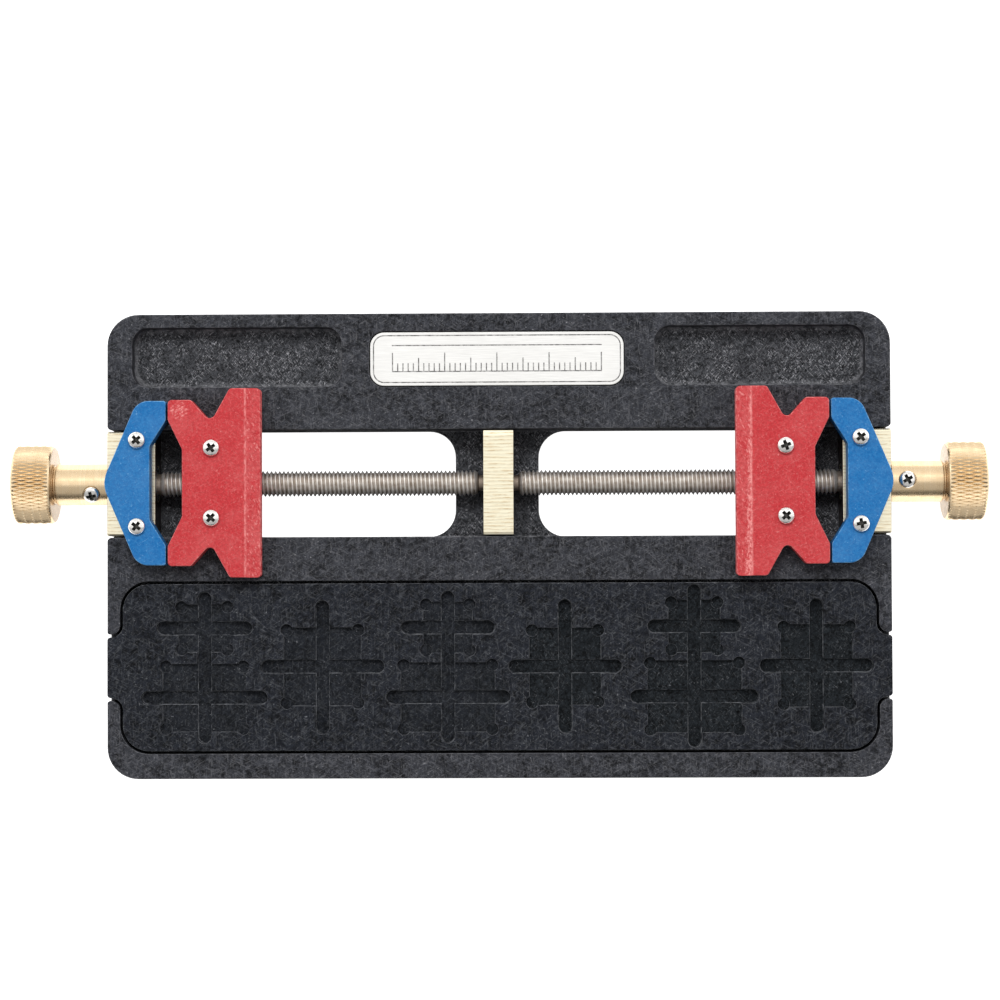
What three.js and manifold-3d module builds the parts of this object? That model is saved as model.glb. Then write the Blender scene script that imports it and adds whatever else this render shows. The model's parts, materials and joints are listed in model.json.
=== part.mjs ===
// Bench vise for holding small printed circuit boards.
//
// Two jaw plates face each other across a flat base. Each jaw sits on a brass nut that slides in a
// channel along X, and each nut has its own lead screw and knurled knob, so either side can be set
// alone. A loose tray with shaped chip pockets lies in the base in front of the channel.
//
// Millimetres. +X along the channel to the right, +Y to the nameplate edge, +Z up.
// The origin is the middle of the base's underside.

import * as THREE from 'three';
import { mergeVertices } from 'three/addons/utils/BufferGeometryUtils.js';
import Module from 'manifold-3d';

const wasm = await Module();
wasm.setup();

// ---- driving dimensions ----------------------------------------------------------------------

const SEAT_GAP = 0.02; // between faces that are screwed together
const CUT_MARGIN = 1; // how far a cutter runs past the face it opens

const BASE = { length: 150, width: 89, height: 12, cornerR: 6 };
const CHANNEL = { y: 12, width: 20.6, floorZ: 4 };
const SLOT = { rightInnerX: 7.7, leftInnerX: 8.4, outerX: 60.5, cornerR: 5.2 };

const PARTS_TRAY = { x: 50.1, y: 36.2, length: 40.2, width: 11.4, cornerR: 3.1, depth: 4 };
const PLATE_RECESS = { x: -0.2, y: 35.7, length: 49, width: 10.7, cornerR: 2.9, depth: 1 };
const NAMEPLATE = { edgeGap: 0.2, thickness: 0.9 };

const TRAY = { y: -23.2, bodyLength: 144, width: 31.9, tabWidth: 11.6, height: 5 };
const TRAY_R = { corner: 5, tabRoot: 2.3, tabEnd: 0.6 };
const TRAY_GAP = 0.55; // round the tray
const TRAY_FLOOR_GAP = 0.05;

const POCKET = { padDepth: 0.9, armDepth: 1.5 };
const ARM_WIDTH = 2.7;

// Each chip pocket: where its middle is along the tray, the length of its upright arm, and its pads.
// A pad is a square or rectangular seat with a cross arm through its middle. y is from tray centre.
const CHIP_POCKETS = [
  { x: -56.4, upright: 29.0, pads: [[7.5, 9.9, 9.2, 18.4], [-5.8, 15.9, 13.0, 24.2]] },
  { x: -33.8, upright: 25.6, pads: [[0.1, 14.8, 15.0, 23.8]] },
  { x: -9.8, upright: 29.1, pads: [[7.5, 9.4, 9.8, 18.1], [-5.8, 18.0, 13.3, 23.9]] },
  { x: 12.6, upright: 25.7, pads: [[0.0, 13.7, 14.8, 21.8]] },
  { x: 37.3, upright: 31.3, pads: [[7.6, 9.9, 10.1, 17.9], [-5.8, 18.0, 13.8, 24.6]] },
  { x: 60.6, upright: 25.7, pads: [[0.0, 13.7, 15.8, 21.8]] },
];

const BLOCK = { width: 20, height: 8, bottomZ: 4.05 }; // the bar stock of all brass blocks
const END_BLOCK = { innerX: 65.75, outerX: 75 };
const CENTRE_BLOCK = { halfLength: 2.9, boreR: 1.6, boreDepth: 2.5 };
const AXIS_Z = 8.1; // height of both lead screws

const SCREW = { threadR: 2.45, threadInnerX: 4, threadOuterX: 65 };
const JOURNAL = { outerR: 1.98, outerEndX: 82, innerR: 1.5, innerEndX: 0.6, boreR: 2.1 };
const BEARING = { innerX: 65.8, width: 2.45, boreR: 2.02, outerR: 3.5, pocketR: 3.55 };
const RACE = { innerLandR: 2.45, outerLandR: 3.05, depth: 0.2, mouth: 0.5 };
const CAGE = { pitchR: 2.75, halfThickness: 0.13, balls: 7, ballR: 0.37, lip: 0.85 };

const NUT = { innerX: 49.8, outerX: 59.8, bottomZ: 4.3, boreR: 2.65 };
const PLATE_THICKNESS = 4;

const JAW = {
  frontX: 45.2,
  backX: 62.8,
  frontHalf: 18,
  backHalf: 15.8,
  frontLobeX: 51,
  backLobeX: 58.4,
  notchX: 54.6,
  notchHalf: 11.55,
  notchR: 1.1,
  recessX: 60.1,
  recessHalf: 6.4,
  recessMouthHalf: 12,
  cornerR: 0.8,
  ridge: 3,
  bevelDrop: 1,
  grooveHeight: 1.2,
  grooveDepth: 1,
  grooveAboveUnderside: 0.9,
};

const END_PLATE = {
  innerX: 63.2,
  shoulderX: 68.67,
  apexX: 75.4,
  half: 15.65,
  recessX: 66.3,
  recessHalf: 7,
  recessMouthHalf: 11.9,
  cornerR: 0.5,
  recessR: 1.2,
  shoulderR: 3.3,
  apexR: 5.5,
};

const KNOB = {
  innerX: 75.05,
  stemR: 4,
  neckX: 85.1,
  neckR: 3.6,
  headX: 85.55,
  endX: 93.1,
  headR: 7.5,
  rim: 0.7,
  boreEndX: 82.3,
};

const PAN_SCREW = { headR: 1.63, headHeight: 1.1, shankR: 0.95, holeR: 1, freeHoleR: 1.15 };
const PLATE_SCREW = { x: 68.7, y: 8.2, length: 7 };
const JAW_SCREW = { x: 54.5, y: 6.65, length: 8 };
const SET_SCREW = { x: 78.1, seatR: 3.6, tipR: 2.3, tiltRight: 3, tiltLeft: 31 };

const BASE_SCREW = { headR: 2.3, headHeight: 1.5, shankR: 1.2, holeR: 1.28, freeHoleR: 1.45 };
const COUNTERBORE = { r: 2.6, depth: 2 };
const BASE_SCREW_TOP_Z = 7.6;
const END_BLOCK_SCREW = { x: 71, y: 6.5 };
const CENTRE_BLOCK_SCREW_Y = 6;

const ROUND = 20; // sides of a turned piece
const KNOB_ROUND = 28;
const RING_ROUND = 16; // sides of a bearing ring
const SMALL_ROUND = 12; // sides of a screw or its hole

const JAW_BOTTOM_Z = NUT.bottomZ + BLOCK.height + SEAT_GAP;
const BLOCK_TOP_Z = BLOCK.bottomZ + BLOCK.height;
const END_PLATE_BOTTOM_Z = BLOCK_TOP_Z + SEAT_GAP;

// ---- materials -------------------------------------------------------------------------------

function finish(color, metalness, roughness) {
  return () => new THREE.MeshStandardMaterial({ color, metalness, roughness });
}

const stone = finish(0x36363a, 0, 0.7);
const brass = finish(0xcdb474, 1, 0.32);
const redPlate = finish(0xc8474b, 0, 0.5);
const bluePlate = finish(0x2f7cbf, 0, 0.5);
const steel = finish(0x9a9a98, 1, 0.35);
const nickel = finish(0xc9c7c0, 1, 0.3);
const silverPlate = finish(0xdadadc, 0.6, 0.4);

// ---- solids ----------------------------------------------------------------------------------

/** The closed solid of a geometry, with only its positions kept and shared corners merged. */
function solid(geometry) {
  const bare = geometry.clone();
  bare.deleteAttribute('normal');
  bare.deleteAttribute('uv');
  const merged = mergeVertices(bare, 1e-5);
  const mesh = new wasm.Mesh({
    numProp: 3,
    vertProperties: new Float32Array(merged.attributes.position.array),
    triVerts: new Uint32Array(merged.index.array),
  });
  return new wasm.Manifold(mesh);
}

/** The geometry of a closed solid. */
function geometryOf(manifold) {
  const mesh = manifold.getMesh();
  const geometry = new THREE.BufferGeometry();
  geometry.setAttribute('position', new THREE.BufferAttribute(mesh.vertProperties, 3));
  geometry.setIndex(new THREE.BufferAttribute(mesh.triVerts, 1));
  geometry.computeVertexNormals();
  return geometry;
}

/** One solid from several that touch or cross. */
function join(geometries) {
  return geometries.map(solid).reduce((whole, piece) => whole.add(piece));
}

/** body with every cutter taken away, as a geometry. */
function cut(body, cutters) {
  return geometryOf(solid(body).subtract(join(cutters)));
}

/** A closed outline through corners [x, y, radius], each corner rounded by its radius. */
function outline(corners) {
  const shape = new THREE.Shape();
  corners.forEach(([x, y, radius], i) => {
    const [px, py] = corners[(i + corners.length - 1) % corners.length];
    const [nx, ny] = corners[(i + 1) % corners.length];
    const corner = new THREE.Vector2(x, y);
    const back = new THREE.Vector2(px - x, py - y).normalize();
    const ahead = new THREE.Vector2(nx - x, ny - y).normalize();
    const halfAngle = Math.acos(THREE.MathUtils.clamp(back.dot(ahead), -1, 1)) / 2;
    const reach = radius / Math.tan(halfAngle);
    const start = corner.clone().addScaledVector(back, reach);
    const end = corner.clone().addScaledVector(ahead, reach);
    if (i === 0) {
      shape.moveTo(start.x, start.y);
    } else {
      shape.lineTo(start.x, start.y);
    }
    if (radius > 0) {
      const middle = back.clone().add(ahead).normalize();
      const centre = corner.clone().addScaledVector(middle, radius / Math.sin(halfAngle));
      const from = Math.atan2(start.y - centre.y, start.x - centre.x);
      const to = Math.atan2(end.y - centre.y, end.x - centre.x);
      const clockwise = back.cross(ahead) > 0;
      shape.absarc(centre.x, centre.y, radius, from, to, clockwise);
    }
  });
  shape.closePath();
  return shape;
}

/** A rectangle centred on x, y with rounded corners. */
function rectangle(x, y, length, width, radius) {
  const right = x + length / 2;
  const top = y + width / 2;
  return outline([
    [right, top, radius],
    [x - length / 2, top, radius],
    [x - length / 2, y - width / 2, radius],
    [right, y - width / 2, radius],
  ]);
}

/** A flat slab of an outline between two heights. */
function slab(shape, bottomZ, topZ, curveSegments = 2) {
  const options = { depth: topZ - bottomZ, bevelEnabled: false, curveSegments };
  return new THREE.ExtrudeGeometry(shape, options).translate(0, 0, bottomZ);
}

/** A box between two corners. */
function block(low, high) {
  const size = high.map((value, i) => value - low[i]);
  const middle = high.map((value, i) => (value + low[i]) / 2);
  return new THREE.BoxGeometry(...size).translate(...middle);
}

/** A solid of revolution about X through [y 0, z], from profile points [x, radius]. */
function turned(points, z, sides = ROUND) {
  const profile = points.map(([x, radius]) => new THREE.Vector2(radius, x));
  const geometry = new THREE.LatheGeometry(profile, sides);
  return geometry.rotateZ(-Math.PI / 2).translate(0, 0, z);
}

/** A round bar along X between two places. */
function barAlongX(x0, x1, radius, z, sides = ROUND) {
  return turned([[x0, 0], [x0, radius], [x1, radius], [x1, 0]], z, sides);
}

/** A round bar along Z between two heights. */
function barAlongZ(x, y, bottomZ, topZ, radius, sides = SMALL_ROUND) {
  const geometry = new THREE.CylinderGeometry(radius, radius, topZ - bottomZ, sides);
  return geometry.rotateX(Math.PI / 2).translate(x, y, (bottomZ + topZ) / 2);
}

/** A pan-head screw along Z with the underside of its head at z 0 and its shank below. */
function panScrew(dims, length) {
  const { headR, headHeight, shankR } = dims;
  const profile = [
    [0, -length],
    [shankR, -length],
    [shankR, 0],
    [headR, 0],
    [headR, headHeight * 0.5],
    [headR * 0.6, headHeight],
    [0, headHeight],
  ].map(([radius, z]) => new THREE.Vector2(radius, z));
  return new THREE.LatheGeometry(profile, SMALL_ROUND).rotateX(Math.PI / 2);
}

// ---- base and what lies in it ----------------------------------------------------------------

/** The tray's outline, grown by gap, with its tabs ending at reach. */
function trayOutline(gap, reach) {
  const body = TRAY.bodyLength / 2 + gap;
  const half = TRAY.width / 2 + gap;
  const tab = TRAY.tabWidth / 2 + gap;
  const { corner, tabRoot, tabEnd } = TRAY_R;
  const rightSide = [
    [body, -half, corner + gap],
    [body, -tab, tabRoot - gap],
    [reach, -tab, tabEnd],
    [reach, tab, tabEnd],
    [body, tab, tabRoot - gap],
    [body, half, corner + gap],
  ];
  const leftSide = rightSide.map(([x, y, radius]) => [-x, -y, radius]);
  const corners = [...rightSide, ...leftSide];
  return outline(corners.map(([x, y, radius]) => [x, y + TRAY.y, radius]));
}

/** Cutters for one chip pocket: shallow pads, and deeper arms that cross under them. */
function pocketCutters({ x, upright, pads }) {
  const top = BASE.height + CUT_MARGIN;
  const padZ = BASE.height - POCKET.padDepth;
  const armZ = BASE.height - POCKET.armDepth;
  const arm = (length, width, y) =>
    slab(rectangle(x, y, length, width, ARM_WIDTH / 2 - 0.01), armZ, top, 1);
  const cutters = [arm(ARM_WIDTH, upright, TRAY.y)];
  for (const [padY, padLength, padWidth, armLength] of pads) {
    const y = TRAY.y + padY;
    cutters.push(slab(rectangle(x, y, padLength, padWidth, 0), padZ, top));
    cutters.push(arm(armLength, ARM_WIDTH, y));
  }
  return cutters;
}

function makeBasePlate() {
  const above = BASE.height + CUT_MARGIN;
  const plate = slab(rectangle(0, 0, BASE.length, BASE.width, BASE.cornerR), 0, BASE.height, 4);
  const half = BASE.length / 2 + CUT_MARGIN;
  const cutters = [
    block(
      [-half, CHANNEL.y - CHANNEL.width / 2, CHANNEL.floorZ],
      [half, CHANNEL.y + CHANNEL.width / 2, above],
    ),
    slab(trayOutline(TRAY_GAP, half), BASE.height - TRAY.height - TRAY_FLOOR_GAP, above),
  ];
  for (const side of [-1, 1]) {
    const innerX = side > 0 ? SLOT.rightInnerX : SLOT.leftInnerX;
    const slotLength = SLOT.outerX - innerX;
    const slotX = (side * (SLOT.outerX + innerX)) / 2;
    const slot = rectangle(slotX, CHANNEL.y, slotLength, CHANNEL.width, SLOT.cornerR);
    cutters.push(slab(slot, -CUT_MARGIN, CHANNEL.floorZ + CUT_MARGIN));
    const { x, y, length, width, cornerR, depth } = PARTS_TRAY;
    cutters.push(slab(rectangle(side * x, y, length, width, cornerR), BASE.height - depth, above));
  }
  const { x, y, length, width, cornerR, depth } = PLATE_RECESS;
  cutters.push(slab(rectangle(x, y, length, width, cornerR), BASE.height - depth, above));
  for (const [screwX, screwY] of baseScrewPlaces()) {
    cutters.push(barAlongZ(screwX, screwY, -CUT_MARGIN, COUNTERBORE.depth, COUNTERBORE.r));
    const throughZ = CHANNEL.floorZ + CUT_MARGIN;
    cutters.push(barAlongZ(screwX, screwY, -CUT_MARGIN, throughZ, BASE_SCREW.freeHoleR));
  }
  return cut(plate, cutters);
}

/** Where screws come up through the base into the brass blocks, in the object's own frame. */
function baseScrewPlaces() {
  const places = [];
  for (const end of [-1, 1]) {
    places.push([0, CHANNEL.y + end * CENTRE_BLOCK_SCREW_Y]);
    for (const side of [-1, 1]) {
      places.push([side * END_BLOCK_SCREW.x, CHANNEL.y + end * END_BLOCK_SCREW.y]);
    }
  }
  return places;
}

function makeChipTray() {
  const bottomZ = BASE.height - TRAY.height;
  const body = slab(trayOutline(0, BASE.length / 2), bottomZ, BASE.height);
  return cut(body, CHIP_POCKETS.flatMap(pocketCutters));
}

function makeNameplate() {
  const { x, y, length, width, cornerR, depth } = PLATE_RECESS;
  const gap = NAMEPLATE.edgeGap;
  const shape = rectangle(x, y, length - 2 * gap, width - 2 * gap, cornerR - gap);
  const bottomZ = BASE.height - depth + SEAT_GAP;
  return slab(shape, bottomZ, bottomZ + NAMEPLATE.thickness);
}

function makeCentreBlock() {
  const { halfLength, boreR, boreDepth } = CENTRE_BLOCK;
  const half = BLOCK.width / 2;
  const body = block([-halfLength, -half, BLOCK.bottomZ], [halfLength, half, BLOCK_TOP_Z]);
  const cutters = [];
  for (const side of [-1, 1]) {
    const mouth = side * (halfLength + CUT_MARGIN);
    const end = side * (halfLength - boreDepth);
    const [from, to] = [mouth, end].sort((a, b) => a - b);
    cutters.push(barAlongX(from, to, boreR, AXIS_Z));
    cutters.push(baseScrewHole(0, side * CENTRE_BLOCK_SCREW_Y));
  }
  return cut(body, cutters);
}

/** A blind hole up into a brass block for a screw from below. */
function baseScrewHole(x, y) {
  const bottomZ = BLOCK.bottomZ - CUT_MARGIN;
  return barAlongZ(x, y, bottomZ, BASE_SCREW_TOP_Z + 0.2, BASE_SCREW.holeR);
}

// ---- one end of the vise, drawn as the right-hand end with the channel's middle at y 0 --------

function makeEndBlock() {
  const half = BLOCK.width / 2;
  const { innerX, outerX } = END_BLOCK;
  const body = block([innerX, -half, BLOCK.bottomZ], [outerX, half, BLOCK_TOP_Z]);
  const bearingEnd = BEARING.innerX + BEARING.width + 0.05;
  const cutters = [
    barAlongX(innerX - CUT_MARGIN, bearingEnd, BEARING.pocketR, AXIS_Z),
    barAlongX(innerX - CUT_MARGIN, outerX + CUT_MARGIN, JOURNAL.boreR, AXIS_Z),
  ];
  for (const side of [-1, 1]) {
    const holeEnd = BLOCK_TOP_Z + PLATE_THICKNESS - PLATE_SCREW.length - 0.3;
    const screwY = side * PLATE_SCREW.y;
    const top = BLOCK_TOP_Z + CUT_MARGIN;
    cutters.push(barAlongZ(PLATE_SCREW.x, screwY, holeEnd, top, PAN_SCREW.holeR));
    cutters.push(baseScrewHole(END_BLOCK_SCREW.x, side * END_BLOCK_SCREW.y));
  }
  return cut(body, cutters);
}

/** A bearing ring with a ball groove in its land. A depth above 0 is cut outward from the axis. */
function bearingRing(landR, farR, grooveDepth) {
  const middle = BEARING.innerX + BEARING.width / 2;
  const edge = BEARING.width / 2;
  const grooveR = landR + grooveDepth;
  const profile = [
    [-edge, farR],
    [-edge, landR],
    [-RACE.mouth, landR],
    [0, grooveR],
    [RACE.mouth, landR],
    [edge, landR],
    [edge, farR],
    [-edge, farR],
  ].map(([x, radius]) => [x + middle, radius]);
  return turned(landR > farR ? profile : profile.reverse(), AXIS_Z, RING_ROUND);
}

/** The ring that spaces the balls, with its balls. */
function makeBallCage() {
  const middle = BEARING.innerX + BEARING.width / 2;
  const inner = CAGE.pitchR - CAGE.halfThickness;
  const outer = CAGE.pitchR + CAGE.halfThickness;
  const from = middle - 0.1;
  const to = middle + CAGE.lip;
  const section = [[from, outer], [to, outer], [to, inner], [from, inner], [from, outer]];
  const ring = turned(section, AXIS_Z, CAGE.balls * 2);
  const balls = [];
  for (let i = 0; i < CAGE.balls; i += 1) {
    const angle = (2 * Math.PI * i) / CAGE.balls;
    const ball = new THREE.SphereGeometry(CAGE.ballR, 6, 4);
    const y = CAGE.pitchR * Math.cos(angle);
    const z = AXIS_Z + CAGE.pitchR * Math.sin(angle);
    balls.push(ball.translate(middle, y, z));
  }
  return geometryOf(join([ring, ...balls]));
}

function makeLeadScrew() {
  const { threadR, threadInnerX, threadOuterX } = SCREW;
  const { outerR, outerEndX, innerR, innerEndX } = JOURNAL;
  const profile = [
    [innerEndX, 0],
    [innerEndX, innerR],
    [threadInnerX, innerR],
    [threadInnerX, threadR],
    [threadOuterX, threadR],
    [threadOuterX, outerR],
    [outerEndX, outerR],
    [outerEndX, 0],
  ];
  return turned(profile, AXIS_Z);
}

/** Turns and moves a piece drawn along Z so that it lies along the set screw's radial line. */
function alongSetScrew(geometry, tilt) {
  const lean = THREE.MathUtils.degToRad(tilt);
  return geometry.rotateX(-lean).translate(SET_SCREW.x, 0, AXIS_Z);
}

function makeKnob(tilt) {
  const { innerX, stemR, neckX, neckR, headX, endX, headR, rim, boreEndX } = KNOB;
  const body = turned([
    [boreEndX, 0],
    [boreEndX, BEARING.boreR],
    [innerX, BEARING.boreR],
    [innerX, stemR],
    [neckX, stemR],
    [neckX, neckR],
    [headX, neckR],
    [headX, headR - rim],
    [headX + rim, headR],
    [endX - rim, headR],
    [endX, headR - rim],
    [endX, 0],
  ], AXIS_Z, KNOB_ROUND);
  const far = stemR + CUT_MARGIN;
  const seat = barAlongZ(0, 0, SET_SCREW.seatR - 0.05, far, PAN_SCREW.headR + 0.1, ROUND);
  const hole = barAlongZ(0, 0, 1, far, PAN_SCREW.holeR);
  return cut(body, [alongSetScrew(seat, tilt), alongSetScrew(hole, tilt)]);
}

function makeSetScrew(tilt) {
  const length = SET_SCREW.seatR - SET_SCREW.tipR;
  const screw = panScrew(PAN_SCREW, length).translate(0, 0, SET_SCREW.seatR);
  return alongSetScrew(screw, tilt);
}

function makeJawNut() {
  const half = BLOCK.width / 2;
  const topZ = NUT.bottomZ + BLOCK.height;
  const body = block([NUT.innerX, -half, NUT.bottomZ], [NUT.outerX, half, topZ]);
  const cutters = [
    barAlongX(NUT.innerX - CUT_MARGIN, NUT.outerX + CUT_MARGIN, NUT.boreR, AXIS_Z),
  ];
  const holeEnd = JAW_BOTTOM_Z + PLATE_THICKNESS - JAW_SCREW.length - 0.3;
  for (const side of [-1, 1]) {
    const top = topZ + CUT_MARGIN;
    cutters.push(barAlongZ(JAW_SCREW.x, side * JAW_SCREW.y, holeEnd, top, PAN_SCREW.holeR));
  }
  return cut(body, cutters);
}

/** An outline from its corners at +Y and their mirror images, about the channel's middle. */
function symmetricOutline(upperCorners) {
  const lowerCorners = upperCorners.map(([x, y, radius]) => [x, -y, radius]).reverse();
  return outline([...upperCorners, ...lowerCorners]);
}

function makeJawPlate() {
  const bottomZ = JAW_BOTTOM_Z;
  const topZ = bottomZ + PLATE_THICKNESS;
  const shape = symmetricOutline([
    [JAW.recessX, JAW.recessHalf, JAW.cornerR],
    [JAW.backX, JAW.recessMouthHalf, JAW.cornerR],
    [JAW.backX, JAW.backHalf, JAW.cornerR],
    [JAW.backLobeX, JAW.backHalf, JAW.cornerR],
    [JAW.notchX, JAW.notchHalf, JAW.notchR],
    [JAW.frontLobeX, JAW.frontHalf, JAW.cornerR],
    [JAW.frontX, JAW.frontHalf, JAW.cornerR],
  ]);
  const wide = JAW.frontHalf + CUT_MARGIN;
  const grooveZ = bottomZ + JAW.grooveAboveUnderside;
  const groove = block(
    [JAW.frontX - CUT_MARGIN, -wide, grooveZ],
    [JAW.frontX + JAW.grooveDepth, wide, grooveZ + JAW.grooveHeight],
  );
  const slope = JAW.bevelDrop / JAW.ridge;
  const past = CUT_MARGIN;
  const wedge = outline([
    [JAW.frontX + JAW.ridge, topZ, 0],
    [JAW.frontX + JAW.ridge, topZ + past, 0],
    [JAW.frontX - past, topZ + past, 0],
    [JAW.frontX - past, topZ - JAW.bevelDrop - slope * past, 0],
  ]);
  const bevel = new THREE.ExtrudeGeometry(wedge, { depth: 2 * wide, bevelEnabled: false });
  bevel.rotateX(Math.PI / 2).translate(0, wide, 0);
  const cutters = [groove, bevel];
  for (const side of [-1, 1]) {
    const hole = [JAW_SCREW.x, side * JAW_SCREW.y, bottomZ - CUT_MARGIN, topZ + CUT_MARGIN];
    cutters.push(barAlongZ(...hole, PAN_SCREW.freeHoleR));
  }
  return cut(slab(shape, bottomZ, topZ), cutters);
}

function makeEndPlate() {
  const bottomZ = END_PLATE_BOTTOM_Z;
  const topZ = bottomZ + PLATE_THICKNESS;
  const { innerX, shoulderX, apexX, half, recessX, recessHalf, recessMouthHalf } = END_PLATE;
  const { cornerR, recessR, shoulderR, apexR } = END_PLATE;
  const upper = [
    [shoulderX, half, shoulderR],
    [innerX, half, cornerR],
    [innerX, recessMouthHalf, recessR],
    [recessX, recessHalf, recessR],
  ];
  const lower = upper.map(([x, y, radius]) => [x, -y, radius]).reverse();
  const shape = outline([[apexX, 0, apexR], ...upper, ...lower]);
  const cutters = [-1, 1].map((side) => {
    const place = [PLATE_SCREW.x, side * PLATE_SCREW.y];
    return barAlongZ(...place, bottomZ - CUT_MARGIN, topZ + CUT_MARGIN, PAN_SCREW.freeHoleR);
  });
  return cut(slab(shape, bottomZ, topZ), cutters);
}

// ---- assembly --------------------------------------------------------------------------------

const vise = new THREE.Group();

/** Adds one named piece to a group, at a place in that group's frame. */
function add(group, name, geometry, material, place = [0, 0, 0]) {
  const mesh = new THREE.Mesh(geometry, material());
  mesh.name = name;
  mesh.position.set(...place);
  group.add(mesh);
}

/** A screw driven up through the base, head down in its counterbore. */
function addBaseScrew(group, name, x, y) {
  const headZ = COUNTERBORE.depth - SEAT_GAP;
  const screw = panScrew(BASE_SCREW, BASE_SCREW_TOP_Z - headZ).rotateX(Math.PI);
  add(group, name, screw, steel, [x, y, headZ]);
}

add(vise, 'base_plate', makeBasePlate(), stone);
add(vise, 'chip_tray', makeChipTray(), stone);
add(vise, 'nameplate', makeNameplate(), silverPlate);

const middle = new THREE.Group();
middle.position.y = CHANNEL.y;
vise.add(middle);
add(middle, 'centre_block', makeCentreBlock(), brass);
addBaseScrew(middle, 'centre_block_screw_back', 0, CENTRE_BLOCK_SCREW_Y);
addBaseScrew(middle, 'centre_block_screw_front', 0, -CENTRE_BLOCK_SCREW_Y);

for (const side of ['right', 'left']) {
  const end = new THREE.Group();
  end.position.y = CHANNEL.y;
  end.rotation.z = side === 'right' ? 0 : Math.PI;
  vise.add(end);

  add(end, `${side}_end_block`, makeEndBlock(), brass);
  add(end, `${side}_end_plate`, makeEndPlate(), bluePlate);
  const outerRing = bearingRing(RACE.outerLandR, BEARING.outerR, RACE.depth);
  add(end, `${side}_bearing_outer_ring`, outerRing, steel);
  const innerRing = bearingRing(RACE.innerLandR, BEARING.boreR, -RACE.depth);
  add(end, `${side}_bearing_inner_ring`, innerRing, steel);
  add(end, `${side}_bearing_ball_cage`, makeBallCage(), nickel);

  const tilt = side === 'right' ? SET_SCREW.tiltRight : SET_SCREW.tiltLeft;
  add(end, `${side}_lead_screw`, makeLeadScrew(), steel);
  add(end, `${side}_knob`, makeKnob(tilt), brass);
  add(end, `${side}_knob_screw`, makeSetScrew(tilt), nickel);

  add(end, `${side}_jaw_nut`, makeJawNut(), brass);
  add(end, `${side}_jaw_plate`, makeJawPlate(), redPlate);

  for (const place of ['back', 'front']) {
    // back is towards +Y of the whole object, whichever way this end is turned
    const across = (place === 'back') === (side === 'right') ? 1 : -1;
    const plateTopZ = END_PLATE_BOTTOM_Z + PLATE_THICKNESS + SEAT_GAP;
    const plateScrew = panScrew(PAN_SCREW, PLATE_SCREW.length);
    const platePlace = [PLATE_SCREW.x, across * PLATE_SCREW.y, plateTopZ];
    add(end, `${side}_end_plate_screw_${place}`, plateScrew, nickel, platePlace);
    const jawTopZ = JAW_BOTTOM_Z + PLATE_THICKNESS + SEAT_GAP;
    const jawScrew = panScrew(PAN_SCREW, JAW_SCREW.length);
    const jawPlace = [JAW_SCREW.x, across * JAW_SCREW.y, jawTopZ];
    add(end, `${side}_jaw_screw_${place}`, jawScrew, nickel, jawPlace);
    const blockScrew = `${side}_end_block_screw_${place}`;
    addBaseScrew(end, blockScrew, END_BLOCK_SCREW.x, across * END_BLOCK_SCREW.y);
  }
}

export default vise;
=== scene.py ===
"""Bench vise for circuit boards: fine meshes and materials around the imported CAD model.

Shapes are worked out in millimetres, in the CAD frame, and turned into metres when a mesh is made.
Each end of the vise is drawn once, as the right-hand end with the channel's middle at y 0, and
placed by end_frame().
"""

import json
import math

import bmesh
import bpy
from mathutils import Matrix, Vector


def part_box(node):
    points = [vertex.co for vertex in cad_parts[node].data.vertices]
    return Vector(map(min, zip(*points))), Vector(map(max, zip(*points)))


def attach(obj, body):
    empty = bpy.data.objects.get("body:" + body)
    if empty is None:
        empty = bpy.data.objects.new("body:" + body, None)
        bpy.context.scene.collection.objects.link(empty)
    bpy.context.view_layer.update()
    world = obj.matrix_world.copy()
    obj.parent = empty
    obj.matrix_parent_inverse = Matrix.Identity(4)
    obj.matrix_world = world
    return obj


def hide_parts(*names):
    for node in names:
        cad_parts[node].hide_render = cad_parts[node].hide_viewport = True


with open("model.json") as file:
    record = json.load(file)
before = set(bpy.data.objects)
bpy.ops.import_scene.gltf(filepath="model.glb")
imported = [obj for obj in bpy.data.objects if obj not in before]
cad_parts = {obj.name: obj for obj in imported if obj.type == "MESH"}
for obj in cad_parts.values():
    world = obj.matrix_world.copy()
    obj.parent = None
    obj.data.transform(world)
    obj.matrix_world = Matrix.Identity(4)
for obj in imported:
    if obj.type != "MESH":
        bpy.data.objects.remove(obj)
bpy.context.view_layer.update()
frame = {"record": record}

MM = 0.001
RECORD = frame["record"]
BODY_OF = {
    node: body
    for body, nodes in RECORD["behaviour"]["bodies"].items()
    for node in nodes
}


def mm_box(node):
    """Lowest and highest corner of a CAD node, in millimetres."""
    low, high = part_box(node)
    return Vector(low) / MM, Vector(high) / MM


# ---- sizes, in millimetres ---------------------------------------------------------------------

BASE_LOW, BASE_HIGH = mm_box("base_plate")
BASE_LENGTH = BASE_HIGH.x - BASE_LOW.x
BASE_WIDTH = BASE_HIGH.y - BASE_LOW.y
BASE_TOP = BASE_HIGH.z
BASE_END = BASE_HIGH.x
BASE_CORNER_R = 6

CENTRE_LOW, CENTRE_HIGH = mm_box("centre_block")
CHANNEL_Y = (CENTRE_LOW.y + CENTRE_HIGH.y) / 2
CHANNEL_HALF = 10.3
CHANNEL_FLOOR = 4.0
MOUTH_R = 0.9  # where the channel and the tray's mouths meet the base's ends
SLOT_INNER = {-1: 8.4, 1: 7.7}
SLOT_OUTER, SLOT_R = 60.5, 5.2

ROD_LOW, ROD_HIGH = mm_box("right_lead_screw")
AXIS_Z = (ROD_LOW.z + ROD_HIGH.z) / 2

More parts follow.
